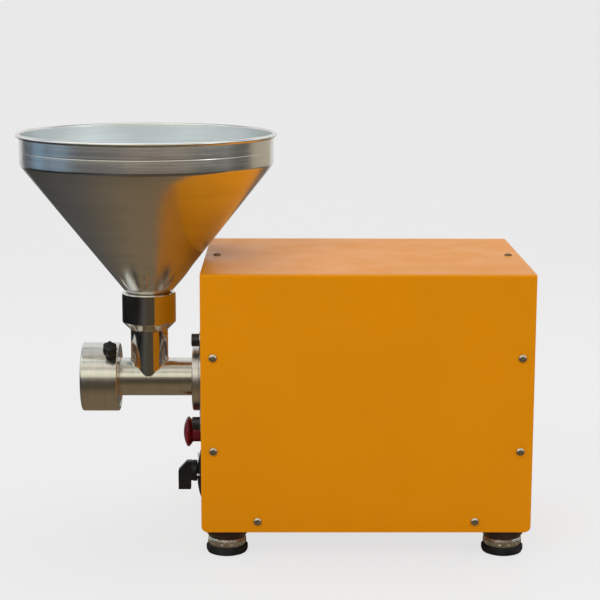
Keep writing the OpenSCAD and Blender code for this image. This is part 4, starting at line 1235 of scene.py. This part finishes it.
def flange():
    """The flange: a faced hub with a groove, standing on a three-eared foot."""
    front, back = low("mounting_flange").x, high("mounting_flange").x
    foot_t = look("feed").flange_foot
    hub = look("feed").flange_hub
    screws = []
    for spot in solid_middles("flange_screws"):
        rise = Vector((spot.z - AXIS_Z, spot.y))
        screws.append((math.atan2(-rise.y, rise.x) % FULL_TURN, rise.length))
    # local x points up the frame's z and local y against its y, as the screws' angles are counted
    bm = bmesh.new()
    outline = flange_outline(look("feed").ear, screws, hub)
    stand = Matrix(((0, 0, 1, back - foot_t), (0, -1, 0, 0), (1, 0, 0, AXIS_Z), (0, 0, 0, 1)))
    prism(bm, outline, stand, foot_t)
    foot = loose("flange_foot", bm)
    bevelled(foot, 0.9 * MM, 4, 40)
    dress(foot, "casing", "satin_steel")
    barrel_reach = radius_of("barrel_tube") + 0.1 * MM
    profile = [
        (barrel_reach, front, 0.4 * MM),
        (hub - 1.0 * MM, front, 0.6 * MM),
        (hub, front + 1.0 * MM, 0.5 * MM),
        (hub, back - foot_t - 1.2 * MM, 0.2 * MM),
        (hub - 0.8 * MM, back - foot_t - 0.8 * MM, 0.2 * MM),
        (hub - 0.8 * MM, back - foot_t + 0.4 * MM),
        (barrel_reach, back - foot_t + 0.4 * MM),
    ]
    faced = turned("flange_hub", profile, ABOUT_DRIVE, 0.2 * MM, 144)
    dress(faced, "casing", "satin_steel", "mounting_flange")


def socket_screw(reach, height, hexagon, depth):
    """A cylinder head screw with a hexagon socket, its seat at the origin and its head towards +Z."""
    shank = reach * 0.6
    outline = [(0, -depth), (shank, -depth), (shank, 0)]
    outline += [(reach, 0, 0.2 * MM), (reach, height, 0.7 * MM), (0, height)]
    head = turned("socket_head", outline, AT_ORIGIN, 0.2 * MM, 64)
    cutter = bmesh.new()
    prism(cutter, arc((0, 0), hexagon, 0, 300, 5), Matrix.Translation((0, 0, height * 0.45)), height)
    cut_with(head, loose("hexagon_cutter", cutter))
    return head


def flange_bolts():
    """The socket screws that hold the flange to the front panel."""
    seat = high("mounting_flange").x - look("feed").flange_foot
    height = seat - low("flange_screws").x
    places = level_places("flange_screws", seat, FORWARD)
    bolt = socket_screw(solid_radius("flange_screws", "y"), height, 3.5 * MM, 4 * MM)
    repeated("flange_bolts", bolt, places, "casing", "dark_screws", "flange_screws", spin=1.0, seed=4)


class GRINDER_OT_feed(bpy.types.Operator):
    """Builds the barrel, the feed tube, the hopper's socket and the mounting flange"""

    bl_idname = "grinder.feed"
    bl_label = "Feed and barrel"

    def execute(self, context):
        feed_tube()
        hopper_socket()
        barrel()
        flange()
        flange_bolts()
        return {"FINISHED"}


# ---- grinding head ----


def head_cap():
    """The turned cap, open where the butter comes out, with wells for the burr's screws."""
    front, back = low("head_cap").x, high("head_cap").x
    reach = radius_of("head_cap", "y")
    nose = radius_of("barrel_nose") + 0.05 * MM
    chamber = nose - 1.0 * MM
    wall = front + 4.0 * MM
    nose_front = low("barrel_nose").x - 1.0 * MM
    outlet = 15.0 * MM
    outline = [
        (outlet, wall),
        (outlet, front, 1.2 * MM),
        (reach, front, 1.8 * MM),
        (reach, back, 1.4 * MM),
        (nose, back, 0.8 * MM),
        (nose, nose_front),
        (chamber, nose_front),
        (chamber, wall),
    ]
    thing = turned("head_cap_shell", outline, ABOUT_DRIVE, 0.2 * MM, 192)
    wells = bmesh.new()
    for spot in solid_middles("burr_screws"):
        lathe(wells, rod(3.0 * MM, front - 2 * MM, front + 2.6 * MM), about_x(spot.y, spot.z), 40)
    cut_with(thing, loose("screw_well_cutter", wells))
    dress(thing, "adjust_cap", "polished_steel", "head_cap")


def lock_knob():
    """The black lock knob: flared foot, waisted neck and a six-lobed grip."""
    grip = middle("lock_knob")
    outward = Vector((0, grip.y, grip.z - AXIS_Z)).normalized()
    leaning = outward.to_track_quat("Z", "X").to_matrix().to_4x4()
    place = Matrix.Translation((middle("lock_screw").x, 0, AXIS_Z)) @ leaning
    foot = 35.6 * MM
    outline = [
        (0, foot),
        (5.3 * MM, foot, 0.5 * MM),
        (5.6 * MM, foot + 3.2 * MM, 0.9 * MM),
        (3.7 * MM, foot + 5.2 * MM, 1.2 * MM),
        (3.7 * MM, foot + 8.4 * MM, 1.0 * MM),
        (4.6 * MM, foot + 10.2 * MM),
        (0, foot + 10.2 * MM),
    ]
    stem = turned("lock_knob_stem", outline, place, 0.3 * MM, 64)
    lobes = 6
    steps = 120
    # each ring's share of the grip's reach, and its height in millimetres
    profile = [(0.55, 9.2), (0.86, 9.6), (0.97, 10.8), (1.0, 13.0), (1.0, 17.0)]
    profile += [(0.96, 19.4), (0.82, 21.2), (0.55, 21.9), (0.25, 22.0)]

    def grip_spot(a, share, rise):
        """A point on the lobed grip."""
        wave = 0.5 + 0.5 * math.cos(lobes * a)
        return place @ on_circle((6.1 * MM + 1.35 * MM * wave**0.8) * share, a, foot + rise * MM)

    bm = bmesh.new()
    rows = [round_ring(bm, steps, lambda a: grip_spot(a, share, rise)) for share, rise in profile]
    skinned(bm, rows)
    bm.faces.new(rows[0][::-1])
    bm.faces.new(rows[-1])
    head = loose("lock_knob_grip", bm)
    dress(head, "lock", "black_plastic", "lock_knob")
    dress(stem, "lock", "black_plastic")


class GRINDER_OT_head(bpy.types.Operator):
    """Builds the grinding head's cap and the knob that locks it"""

    bl_idname = "grinder.head"
    bl_label = "Grinding head"

    def execute(self, context):
        head_cap()
        lock_knob()
        return {"FINISHED"}


# ---- controls ----


def stop_button():
    """The red mushroom of the stop button: a low dome with a rolled edge over a short neck."""
    place = about_x(0, middle("stop_button").z)
    reach = radius_of("stop_button", "y")
    front, back = low("stop_button").x, high("stop_button").x
    rim = front + 5.2 * MM
    neck = 10.5 * MM
    steps = 8
    dome = []
    for share in (k / steps for k in range(steps + 1)):
        dome.append((reach * 0.93 * share, front + 3.3 * MM * share**2.2, 0))
    outline = [
        *dome,
        (reach, rim - 0.9 * MM, 0.5 * MM),
        (reach, rim + 0.4 * MM, 0.5 * MM),
        (reach - 2.2 * MM, rim + 2.6 * MM, 1.0 * MM),
        (neck, rim + 4.2 * MM, 1.5 * MM),
        (neck, back, 0.3 * MM),
        (0, back),
    ]
    mushroom = turned("stop_button_mushroom", outline, place, 0.2 * MM, 128)
    dress(mushroom, "stop_head", "red_plastic", "stop_button", sharp=45)


def stop_bezel():
    """The stop button's black ring on the panel, with its threaded neck through the sheet."""
    front = low("stop_collar").x
    place = about_x(0, middle("stop_collar").z)
    well_floor = front + 4.6 * MM
    mouth, flank, thread, stem_bore = 10.9 * MM, 14.0 * MM, 11.0 * MM, 8.1 * MM
    thread_end = FRONT_X + 20 * MM
    outline = [
        (mouth, well_floor),
        (mouth, front, 0.3 * MM),
        (flank - 1.4 * MM, front, 0.5 * MM),
        (flank, front + 1.6 * MM, 0.5 * MM),
        (flank, FRONT_X, 0.2 * MM),
        (thread, FRONT_X),
        (thread, thread_end),
        (stem_bore, thread_end),
        (stem_bore, well_floor),
    ]
    ring = turned("stop_bezel_ring", outline, place, 0.2 * MM, 96)
    dress(ring, "casing", "black_plastic", "stop_collar")


def switch_plate():
    """The square escutcheon: a softly domed plate with rounded corners."""
    centre = middle("switch_plate")
    half = radius_of("switch_plate", "y")
    front = low("switch_plate").x
    thick = FRONT_X - front
    bm = bmesh.new()
    steps = 20
    corner = 5.0 * MM

    def in_plate(u, v):
        """A point of the plate's square, pulled in to its rounded corners."""
        y, z = half * u, half * v
        over = Vector((abs(y) - half + corner, abs(z) - half + corner))
        if min(over) > 0 and over.length > corner:
            over = over.normalized() * corner
            y = math.copysign(half - corner + over.x, y)
            z = math.copysign(half - corner + over.y, z)
        return y, z

    grid = []
    for i in range(steps + 1):
        row = []
        for j in range(steps + 1):
            u, v = 2 * i / steps - 1, 2 * j / steps - 1
            y, z = in_plate(u, v)
            edge = max(abs(u), abs(v))
            dome = thick * (0.42 + 0.58 * (1 - edge**2.6) if edge < 1 else 0.40)
            row.append(bm.verts.new((FRONT_X - dome, centre.y + y, centre.z + z)))
        grid.append(row)
    for i in range(steps):
        for j in range(steps):
            bm.faces.new((grid[i][j], grid[i][j + 1], grid[i + 1][j + 1], grid[i + 1][j]))
    border = [grid[i][0] for i in range(steps + 1)]
    border += [grid[steps][j] for j in range(1, steps + 1)]
    border += [grid[i][steps] for i in range(steps - 1, -1, -1)]
    border += [grid[0][j] for j in range(steps - 1, 0, -1)]
    back = [bm.verts.new((FRONT_X, v.co.y, v.co.z)) for v in border]
    for i in range(len(border)):
        m = (i + 1) % len(border)
        bm.faces.new((border[i], border[m], back[m], back[i]))
    bm.faces.new(back)
    plate = loose("switch_escutcheon", bm)
    bevelled(plate, 0.6 * MM, 3, 50)
    dress(plate, "casing", "black_plastic", "switch_plate", sharp=60)


def switch_marks():
    """Two plain position marks let into the plate, above the handle and beside it."""
    centre = middle("switch_plate")
    front = low("switch_plate").x
    inner, outer, half = 14.2 * MM, 18.6 * MM, 0.55 * MM
    mark = [(inner, -half), (outer, -half), (outer, half), (inner, half)]
    bm = bmesh.new()
    for turn in (0, QUARTER):
        direction = Vector((0, -math.sin(turn), math.cos(turn)))
        side = Vector((0, math.cos(turn), math.sin(turn)))
        pointing = Matrix((direction, side, BACKWARD)).transposed().to_4x4()
        place = Matrix.Translation((front + 0.2 * MM, centre.y, centre.z)) @ pointing
        prism(bm, mark, place, 3.2 * MM)
    dress(loose("switch_position_marks", bm), "casing", "pale_plastic", finish="mark_paint")


def switch_handle():
    """The bar handle on its round hub, with a bevelled nose and a pointer line."""
    front = low("switch_handle").x
    plate_front = low("switch_plate").x
    hub_z = middle("switch_plate").z
    tip_down = low("switch_handle").z
    half = 4.5 * MM
    hub_back = plate_front - 0.4 * MM
    hub_reach = 11.0 * MM
    outline = [
        (0, plate_front - 6.0 * MM),
        (hub_reach - 1.0 * MM, plate_front - 6.0 * MM, 0.8 * MM),
        (hub_reach, plate_front - 4.6 * MM, 0.5 * MM),
        (hub_reach, hub_back, 0.4 * MM),
        (0, hub_back),
    ]
    hub = turned("switch_hub", outline, about_x(0, hub_z), 0.3 * MM, 72)
    bm = bmesh.new()
    side = [
        (plate_front - 5.4 * MM, hub_z + 10.4 * MM, 0.8 * MM),
        (plate_front - 11.0 * MM, hub_z + 10.4 * MM, 1.6 * MM),
        (front, hub_z + 1.0 * MM, 2.2 * MM),
        (front, tip_down, 1.0 * MM),
        (plate_front - 6.8 * MM, tip_down, 0.8 * MM),
        (plate_front - 6.8 * MM, hub_z - 9.8 * MM, 0.8 * MM),
        (plate_front - 5.4 * MM, hub_z - 9.8 * MM, 0.4 * MM),
    ]
    prism(bm, rounded(side, 0.6 * MM, 4), side_on(-half), 2 * half)
    bar = loose("switch_bar", bm)
    bevelled(bar, 0.7 * MM, 3, 40)
    line_z = hub_z - 9.0 * MM
    cut_with(bar, block("pointer_cutter", (front, 0, line_z), (1.2, 1.1, 17)))
    pointer = block("switch_pointer_line", (front + 0.45 * MM, 0, line_z), (0.5, 1.0, 16.8))
    dress(pointer, "switch", "pale_plastic", finish="mark_paint")
    dress(bar, "switch", "black_plastic", "switch_handle")
    dress(hub, "switch", "black_plastic")


class GRINDER_OT_controls(bpy.types.Operator):
    """Builds the stop button and the rotary switch"""

    bl_idname = "grinder.controls"
    bl_label = "Controls"

    def execute(self, context):
        stop_button()
        stop_bezel()
        switch_plate()
        switch_marks()
        switch_handle()
        return {"FINISHED"}


# ---- rear fittings and everything inside ----


class GRINDER_OT_rear(bpy.types.Operator):
    """Finishes the power inlet on the rear panel"""

    bl_idname = "grinder.rear"
    bl_label = "Rear fittings"

    def execute(self, context):
        refined("power_inlet_body", "power_inlet", "casing", "black_plastic", 0.5 * MM)
        refined("power_inlet_pins", "inlet_pins", "casing", "brass_pins", 0.35 * MM)
        seat = high("power_inlet").x
        height = high("inlet_screws").x - seat
        places = level_places("inlet_screws", seat, BACKWARD)
        head = pan_head(solid_radius("inlet_screws", "y"), height, 4 * MM)
        repeated(
            "inlet_screw_heads", head, places, "casing", "bright_screws", "inlet_screws",
            spin=FULL_TURN, seed=11,
        )
        return {"FINISHED"}


class GRINDER_OT_insides(bpy.types.Operator):
    """Gives every piece of the frame the finish of its material slot"""

    bl_idname = "grinder.insides"
    bl_label = "Inside pieces"

    def execute(self, context):
        slots = {part["node"]: part["material_slot"] for part in frame["record"]["subparts"]}
        for node, thing in frame["nodes"].items():
            thing.data.materials.clear()
            thing.data.materials.append(FINISHES[slots[node]])
        return {"FINISHED"}


# ---- stage ----

# How much of the floor's seen colour is plain. The rest takes light and shadow
PLAIN_SHARE = 0.86
# What the lamps face, and each lamp's name, place, width, height and power in watts
HEART = (0, 0, 0.2)
LAMPS = (
    ("key_softbox", (-1.1, -1.9, 1.9), 1.4, 1.0, 26),
    ("fill_softbox", (1.8, -1.5, 0.9), 1.2, 1.2, 10),
    ("top_softbox", (0.2, 0.5, 2.1), 1.8, 1.2, 24),
)


def studio_ground():
    """A pale floor that runs up into a backdrop. The camera, gloss and glass see its plain colour,
    darkened only by the object's shadow."""
    studio = look("studio")
    ground = Finish("studio_ground", tuple(studio.ground), 0.9, specular=0.0)
    path = ground.add("ShaderNodeLightPath")
    seen = ground.math("MAXIMUM", path.outputs["Is Camera Ray"], path.outputs["Is Glossy Ray"])
    seen = ground.math("MAXIMUM", seen, path.outputs["Is Transmission Ray"])
    share = ground.math("MULTIPLY", seen, PLAIN_SHARE)
    glow = ground.add("ShaderNodeEmission")
    glow.inputs["Color"].default_value = (*studio.ground, 1.0)
    mixed = ground.add("ShaderNodeMixShader")
    ground.link(share, mixed.inputs["Fac"])
    ground.link(ground.surface.outputs["BSDF"], mixed.inputs[1])
    ground.link(glow.outputs["Emission"], mixed.inputs[2])
    ground.link(mixed.outputs[0], ground.result)
    size = studio.floor_size
    bend = studio.sweep
    line = [Vector((-size, 0)), Vector((size * 0.5 - bend, 0))]
    line += arc((size * 0.5 - bend, bend), bend, -90, 0, 16)
    line.append(Vector((size * 0.5, size)))
    bm = bmesh.new()
    rows = []
    for x in (-size, size):
        rows.append([bm.verts.new((x, p.x, p.y)) for p in line])
    for k in range(len(line) - 1):
        bm.faces.new((rows[0][k], rows[1][k], rows[1][k + 1], rows[0][k + 1]))
    sweep = loose("studio_sweep", bm, outwards=False)
    sweep.data.materials.append(ground.material)
    sweep.data.shade_smooth()


def studio_world():
    """Even light all round. The camera, gloss and glass see the backdrop's plain colour instead."""
    studio = look("studio")
    world = bpy.data.worlds.new("studio_world")
    bpy.context.scene.world = world
    world.use_nodes = True
    tree = world.node_tree
    tree.nodes.clear()
    output = tree.nodes.new("ShaderNodeOutputWorld")
    path = tree.nodes.new("ShaderNodeLightPath")
    seen = path.outputs["Is Camera Ray"]
    for other in ("Is Glossy Ray", "Is Transmission Ray"):
        both = tree.nodes.new("ShaderNodeMath")
        both.operation = "MAXIMUM"
        tree.links.new(seen, both.inputs[0])
        tree.links.new(path.outputs[other], both.inputs[1])
        seen = both.outputs[0]
    plain = tree.nodes.new("ShaderNodeBackground")
    plain.inputs["Color"].default_value = (*studio.ground, 1.0)
    soft = tree.nodes.new("ShaderNodeBackground")
    soft.inputs["Color"].default_value = (1.0, 1.0, 1.0, 1.0)
    soft.inputs["Strength"].default_value = studio.soft
    mixed = tree.nodes.new("ShaderNodeMixShader")
    tree.links.new(seen, mixed.inputs["Fac"])
    tree.links.new(soft.outputs[0], mixed.inputs[1])
    tree.links.new(plain.outputs[0], mixed.inputs[2])
    tree.links.new(mixed.outputs[0], output.inputs["Surface"])


def softbox(name, place, target, width, height, power):
    """A rectangular lamp that faces its target."""
    lamp = bpy.data.lights.new(name, "AREA")
    lamp.shape = "RECTANGLE"
    lamp.size = width
    lamp.size_y = height
    lamp.energy = power
    thing = bpy.data.objects.new(name, lamp)
    bpy.context.scene.collection.objects.link(thing)
    thing.location = place
    thing.rotation_euler = (Vector(target) - Vector(place)).to_track_quat("-Z", "Y").to_euler()


def only_in_reflections(name, bm, finish, tone):
    """A stage card with its own plain tone, which nothing but gloss sees."""
    glow = finish.add("ShaderNodeEmission")
    finish.link(tone, glow.inputs["Color"])
    finish.link(glow.outputs["Emission"], finish.result)
    card = loose(name, bm, outwards=False)
    card.data.materials.append(finish.material)
    card.visible_camera = False
    card.visible_diffuse = False
    card.visible_transmission = False
    card.visible_shadow = False


# Reach and height of the cards round the machine that only gloss sees
ROOM_REACH = 1.5
ROOM_HEIGHT = 0.40
CEILING_HALF = 2.5
# The camera's place and its turns in degrees, fitted to the photograph
EYE = (0.01216, -1.69989, 0.54059)
EYE_YAW, EYE_PITCH, EYE_ROLL = 0.5335, 10.1733, 0.1652


def reflected_table():
    """The dim table top that the steel mirrors: brown by the machine, darker further out."""
    finish = Finish("reflected_table", (0, 0, 0), 1.0)
    split = finish.add("ShaderNodeSeparateXYZ")
    finish.link(finish.coordinates, split.inputs[0])
    x, y = split.outputs[0], split.outputs[1]
    front = finish.spread(y, 1, 0, -0.34, -0.14)
    rear = finish.spread(y, 0, 1, 0.15, 0.4)
    aside = finish.spread(x, 1, 0, -0.95, -0.5)
    tone = finish.blend(front, (0.190, 0.142, 0.085), (0.078, 0.064, 0.040))
    tone = finish.blend(rear, tone, (0.115, 0.113, 0.105))
    left = finish.spread(x, 1, 0, -0.46, -0.20)
    tone = finish.blend(left, tone, (0.085, 0.084, 0.078))
    tone = finish.blend(aside, tone, (0.010, 0.010, 0.009))
    bm = bmesh.new()
    bmesh.ops.create_circle(bm, cap_ends=True, segments=96, radius=ROOM_REACH)
    for v in bm.verts:
        v.co += Vector((FEED_X, 0, 0.5 * MM))
    only_in_reflections("reflected_table", bm, finish, tone)


def striped(finish, angle, first, last, stripes):
    """A colour that changes with an angle, by (degrees, colour) stops between first and last."""
    ramp = finish.add("ShaderNodeValToRGB")
    finish.link(finish.spread(angle, 0, 1, math.radians(first), math.radians(last)), ramp.inputs["Fac"])
    stops = ramp.color_ramp.elements
    stops.remove(stops[1])
    for i, (degrees, tone) in enumerate(stripes):
        place = (degrees - first) / (last - first)
        stop = stops[0] if i == 0 else stops.new(place)
        stop.position = place
        stop.color = (*tone, 1.0)
    return ramp.outputs["Color"]


def curved_card(first, last, steps, ends):
    """A card bent round part of a circle, by the two ends of its strip at each angle."""
    bm = bmesh.new()
    rows = []
    for k in range(steps + 1):
        a = math.radians(first + (last - first) * k / steps)
        rows.append([bm.verts.new(end) for end in ends(a)])
    for near, far in zip(rows, rows[1:]):
        bm.faces.new((near[0], far[0], far[1], near[1]))
    return bm


def reflected_room():
    """The lower part of a room round the front of the machine, in upright stripes of light and dark."""
    finish = Finish("reflected_room", (0, 0, 0), 1.0)
    split = finish.add("ShaderNodeSeparateXYZ")
    finish.link(finish.moved((FEED_X, 0, 0)), split.inputs[0])
    back = finish.math("MULTIPLY", split.outputs[1], -1.0)
    bearing = finish.math("ARCTAN2", split.outputs[0], back)
    first, last = -140, 150
    stripes = (
        (-140, (0.120, 0.130, 0.154)),
        (-116, (0.110, 0.120, 0.145)),
        (-110, (0.200, 0.320, 0.430)),
        (-97, (0.190, 0.305, 0.410)),
        (-92, (0.110, 0.130, 0.150)),
        (-86, (0.190, 0.270, 0.345)),
        (-68, (0.165, 0.245, 0.320)),
        (-62, (0.100, 0.105, 0.115)),
        (-22, (0.110, 0.105, 0.105)),
        (-10, (0.190, 0.154, 0.137)),
        (30, (0.180, 0.140, 0.120)),
        (44, (0.150, 0.135, 0.110)),
        (48, (0.080, 0.080, 0.070)),
        (70, (0.085, 0.085, 0.075)),
        (74, (0.180, 0.175, 0.160)),
        (80, (0.180, 0.175, 0.160)),
        (84, (0.080, 0.080, 0.070)),
        (104, (0.085, 0.085, 0.075)),
        (110, (0.440, 0.390, 0.290)),
        (150, (0.480, 0.430, 0.330)),
    )
    painted = striped(finish, bearing, first, last, stripes)

    def ends(a):
        foot = Vector((FEED_X + ROOM_REACH * math.sin(a), -ROOM_REACH * math.cos(a), 0))
        return foot, foot + Vector((0, 0, ROOM_HEIGHT))

    skirting = finish.spread(split.outputs[2], 1, 0, 0.04, 0.09)
    tone = finish.blend(skirting, painted, (0.030, 0.027, 0.022))
    only_in_reflections("reflected_room", curved_card(first, last, 64, ends), finish, tone)


def reflected_ceiling():
    """Long strips of light and shade overhead, which lie along the turned steel as its bands."""
    finish = Finish("reflected_ceiling", (0, 0, 0), 1.0)
    split = finish.add("ShaderNodeSeparateXYZ")
    finish.link(finish.moved((0, 0, AXIS_Z)), split.inputs[0])
    ahead = finish.math("MULTIPLY", split.outputs[1], -1.0)
    rise = finish.math("ARCTAN2", split.outputs[2], ahead)
    first, last = 9, 140
    strips = (
        (9, (0.90, 0.88, 0.70)),
        (30, (0.86, 0.84, 0.68)),
        (35, (0.26, 0.25, 0.18)),
        (41, (0.28, 0.27, 0.20)),
        (46, (0.66, 0.63, 0.50)),
        (58, (0.70, 0.68, 0.58)),
        (61, (0.26, 0.27, 0.26)),
        (63, (0.28, 0.30, 0.30)),
        (66, (1.20, 1.30, 1.28)),
        (96, (1.15, 1.24, 1.26)),
        (101, (0.22, 0.26, 0.30)),
        (122, (0.24, 0.27, 0.30)),
        (126, (0.84, 0.87, 0.86)),
        (140, (0.90, 0.93, 0.93)),
    )
    painted = striped(finish, rise, first, last, strips)

    def ends(a):
        y, z = -ROOM_REACH * math.cos(a), AXIS_Z + ROOM_REACH * math.sin(a)
        return Vector((-CEILING_HALF, y, z)), Vector((CEILING_HALF, y, z))

    only_in_reflections("reflected_ceiling", curved_card(first, last, 48, ends), finish, painted)


def studio_camera():
    """The photograph's view: from a little above, straight at the machine's side."""
    yaw, pitch, roll = (math.radians(a) for a in (EYE_YAW, EYE_PITCH, EYE_ROLL))
    ahead = Vector((math.sin(yaw) * math.cos(pitch), math.cos(yaw) * math.cos(pitch), -math.sin(pitch)))
    across = Vector((math.cos(yaw), -math.sin(yaw), 0))
    above = across.cross(ahead)
    right = across * math.cos(roll) + above * math.sin(roll)
    up = -across * math.sin(roll) + above * math.cos(roll)
    data = bpy.data.cameras.new("photo_camera")
    data.sensor_width = 36.0
    data.lens = look("studio").lens
    camera = bpy.data.objects.new("photo_camera", data)
    bpy.context.scene.collection.objects.link(camera)
    turn = Matrix((right, up, -ahead)).transposed().to_4x4()
    camera.matrix_world = Matrix.Translation(EYE) @ turn
    bpy.context.scene.camera = camera


class GRINDER_OT_stage(bpy.types.Operator):
    """Sets up the pale studio, its lamps and the camera"""

    bl_idname = "grinder.stage"
    bl_label = "Stage"

    def execute(self, context):
        bpy.context.scene.view_settings.view_transform = "Standard"
        studio_ground()
        studio_world()
        for name, place, width, height, watts in LAMPS:
            softbox(name, place, HEART, width, height, watts)
        reflected_table()
        reflected_room()
        reflected_ceiling()
        studio_camera()
        return {"FINISHED"}


# ---- sidebar, registration and the run itself ----

OPERATORS = (
    GRINDER_OT_insides,
    GRINDER_OT_casing,
    GRINDER_OT_screws,
    GRINDER_OT_feet,
    GRINDER_OT_hopper,
    GRINDER_OT_feed,
    GRINDER_OT_head,
    GRINDER_OT_controls,
    GRINDER_OT_rear,
    GRINDER_OT_stage,
)


class GRINDER_PT_sidebar(bpy.types.Panel):
    """Lists the grinder's pieces in the 3D view's sidebar"""

    bl_idname = "GRINDER_PT_sidebar"
    bl_label = "Nut butter grinder"
    bl_space_type = "VIEW_3D"
    bl_region_type = "UI"
    bl_category = "Grinder"

    def draw(self, context):
        for operator in OPERATORS:
            self.layout.operator(operator.bl_idname)
        for name, group in LOOKS.items():
            box = self.layout.box()
            for field in group.__annotations__:
                box.prop(getattr(context.scene, name), field)


def register():
    """Adds the settings, the operators and the sidebar."""
    for group in LOOKS.values():
        bpy.utils.register_class(group)
    for name, group in LOOKS.items():
        setattr(bpy.types.Scene, name, PointerProperty(type=group))
    for operator in OPERATORS:
        bpy.utils.register_class(operator)
    bpy.utils.register_class(GRINDER_PT_sidebar)


def unregister():
    """Takes the sidebar, the operators and the settings away again."""
    bpy.utils.unregister_class(GRINDER_PT_sidebar)
    for operator in reversed(OPERATORS):
        bpy.utils.unregister_class(operator)
    for name in LOOKS:
        delattr(bpy.types.Scene, name)
    for group in reversed(list(LOOKS.values())):
        bpy.utils.unregister_class(group)


def main():
    """Builds every piece and the stage."""
    register()
    make_finishes()
    bpy.ops.grinder.insides()
    bpy.ops.grinder.casing()
    bpy.ops.grinder.screws()
    bpy.ops.grinder.feet()
    bpy.ops.grinder.hopper()
    bpy.ops.grinder.feed()
    bpy.ops.grinder.head()
    bpy.ops.grinder.controls()
    bpy.ops.grinder.rear()
    bpy.ops.grinder.stage()


if __name__ == "__main__":
    main()
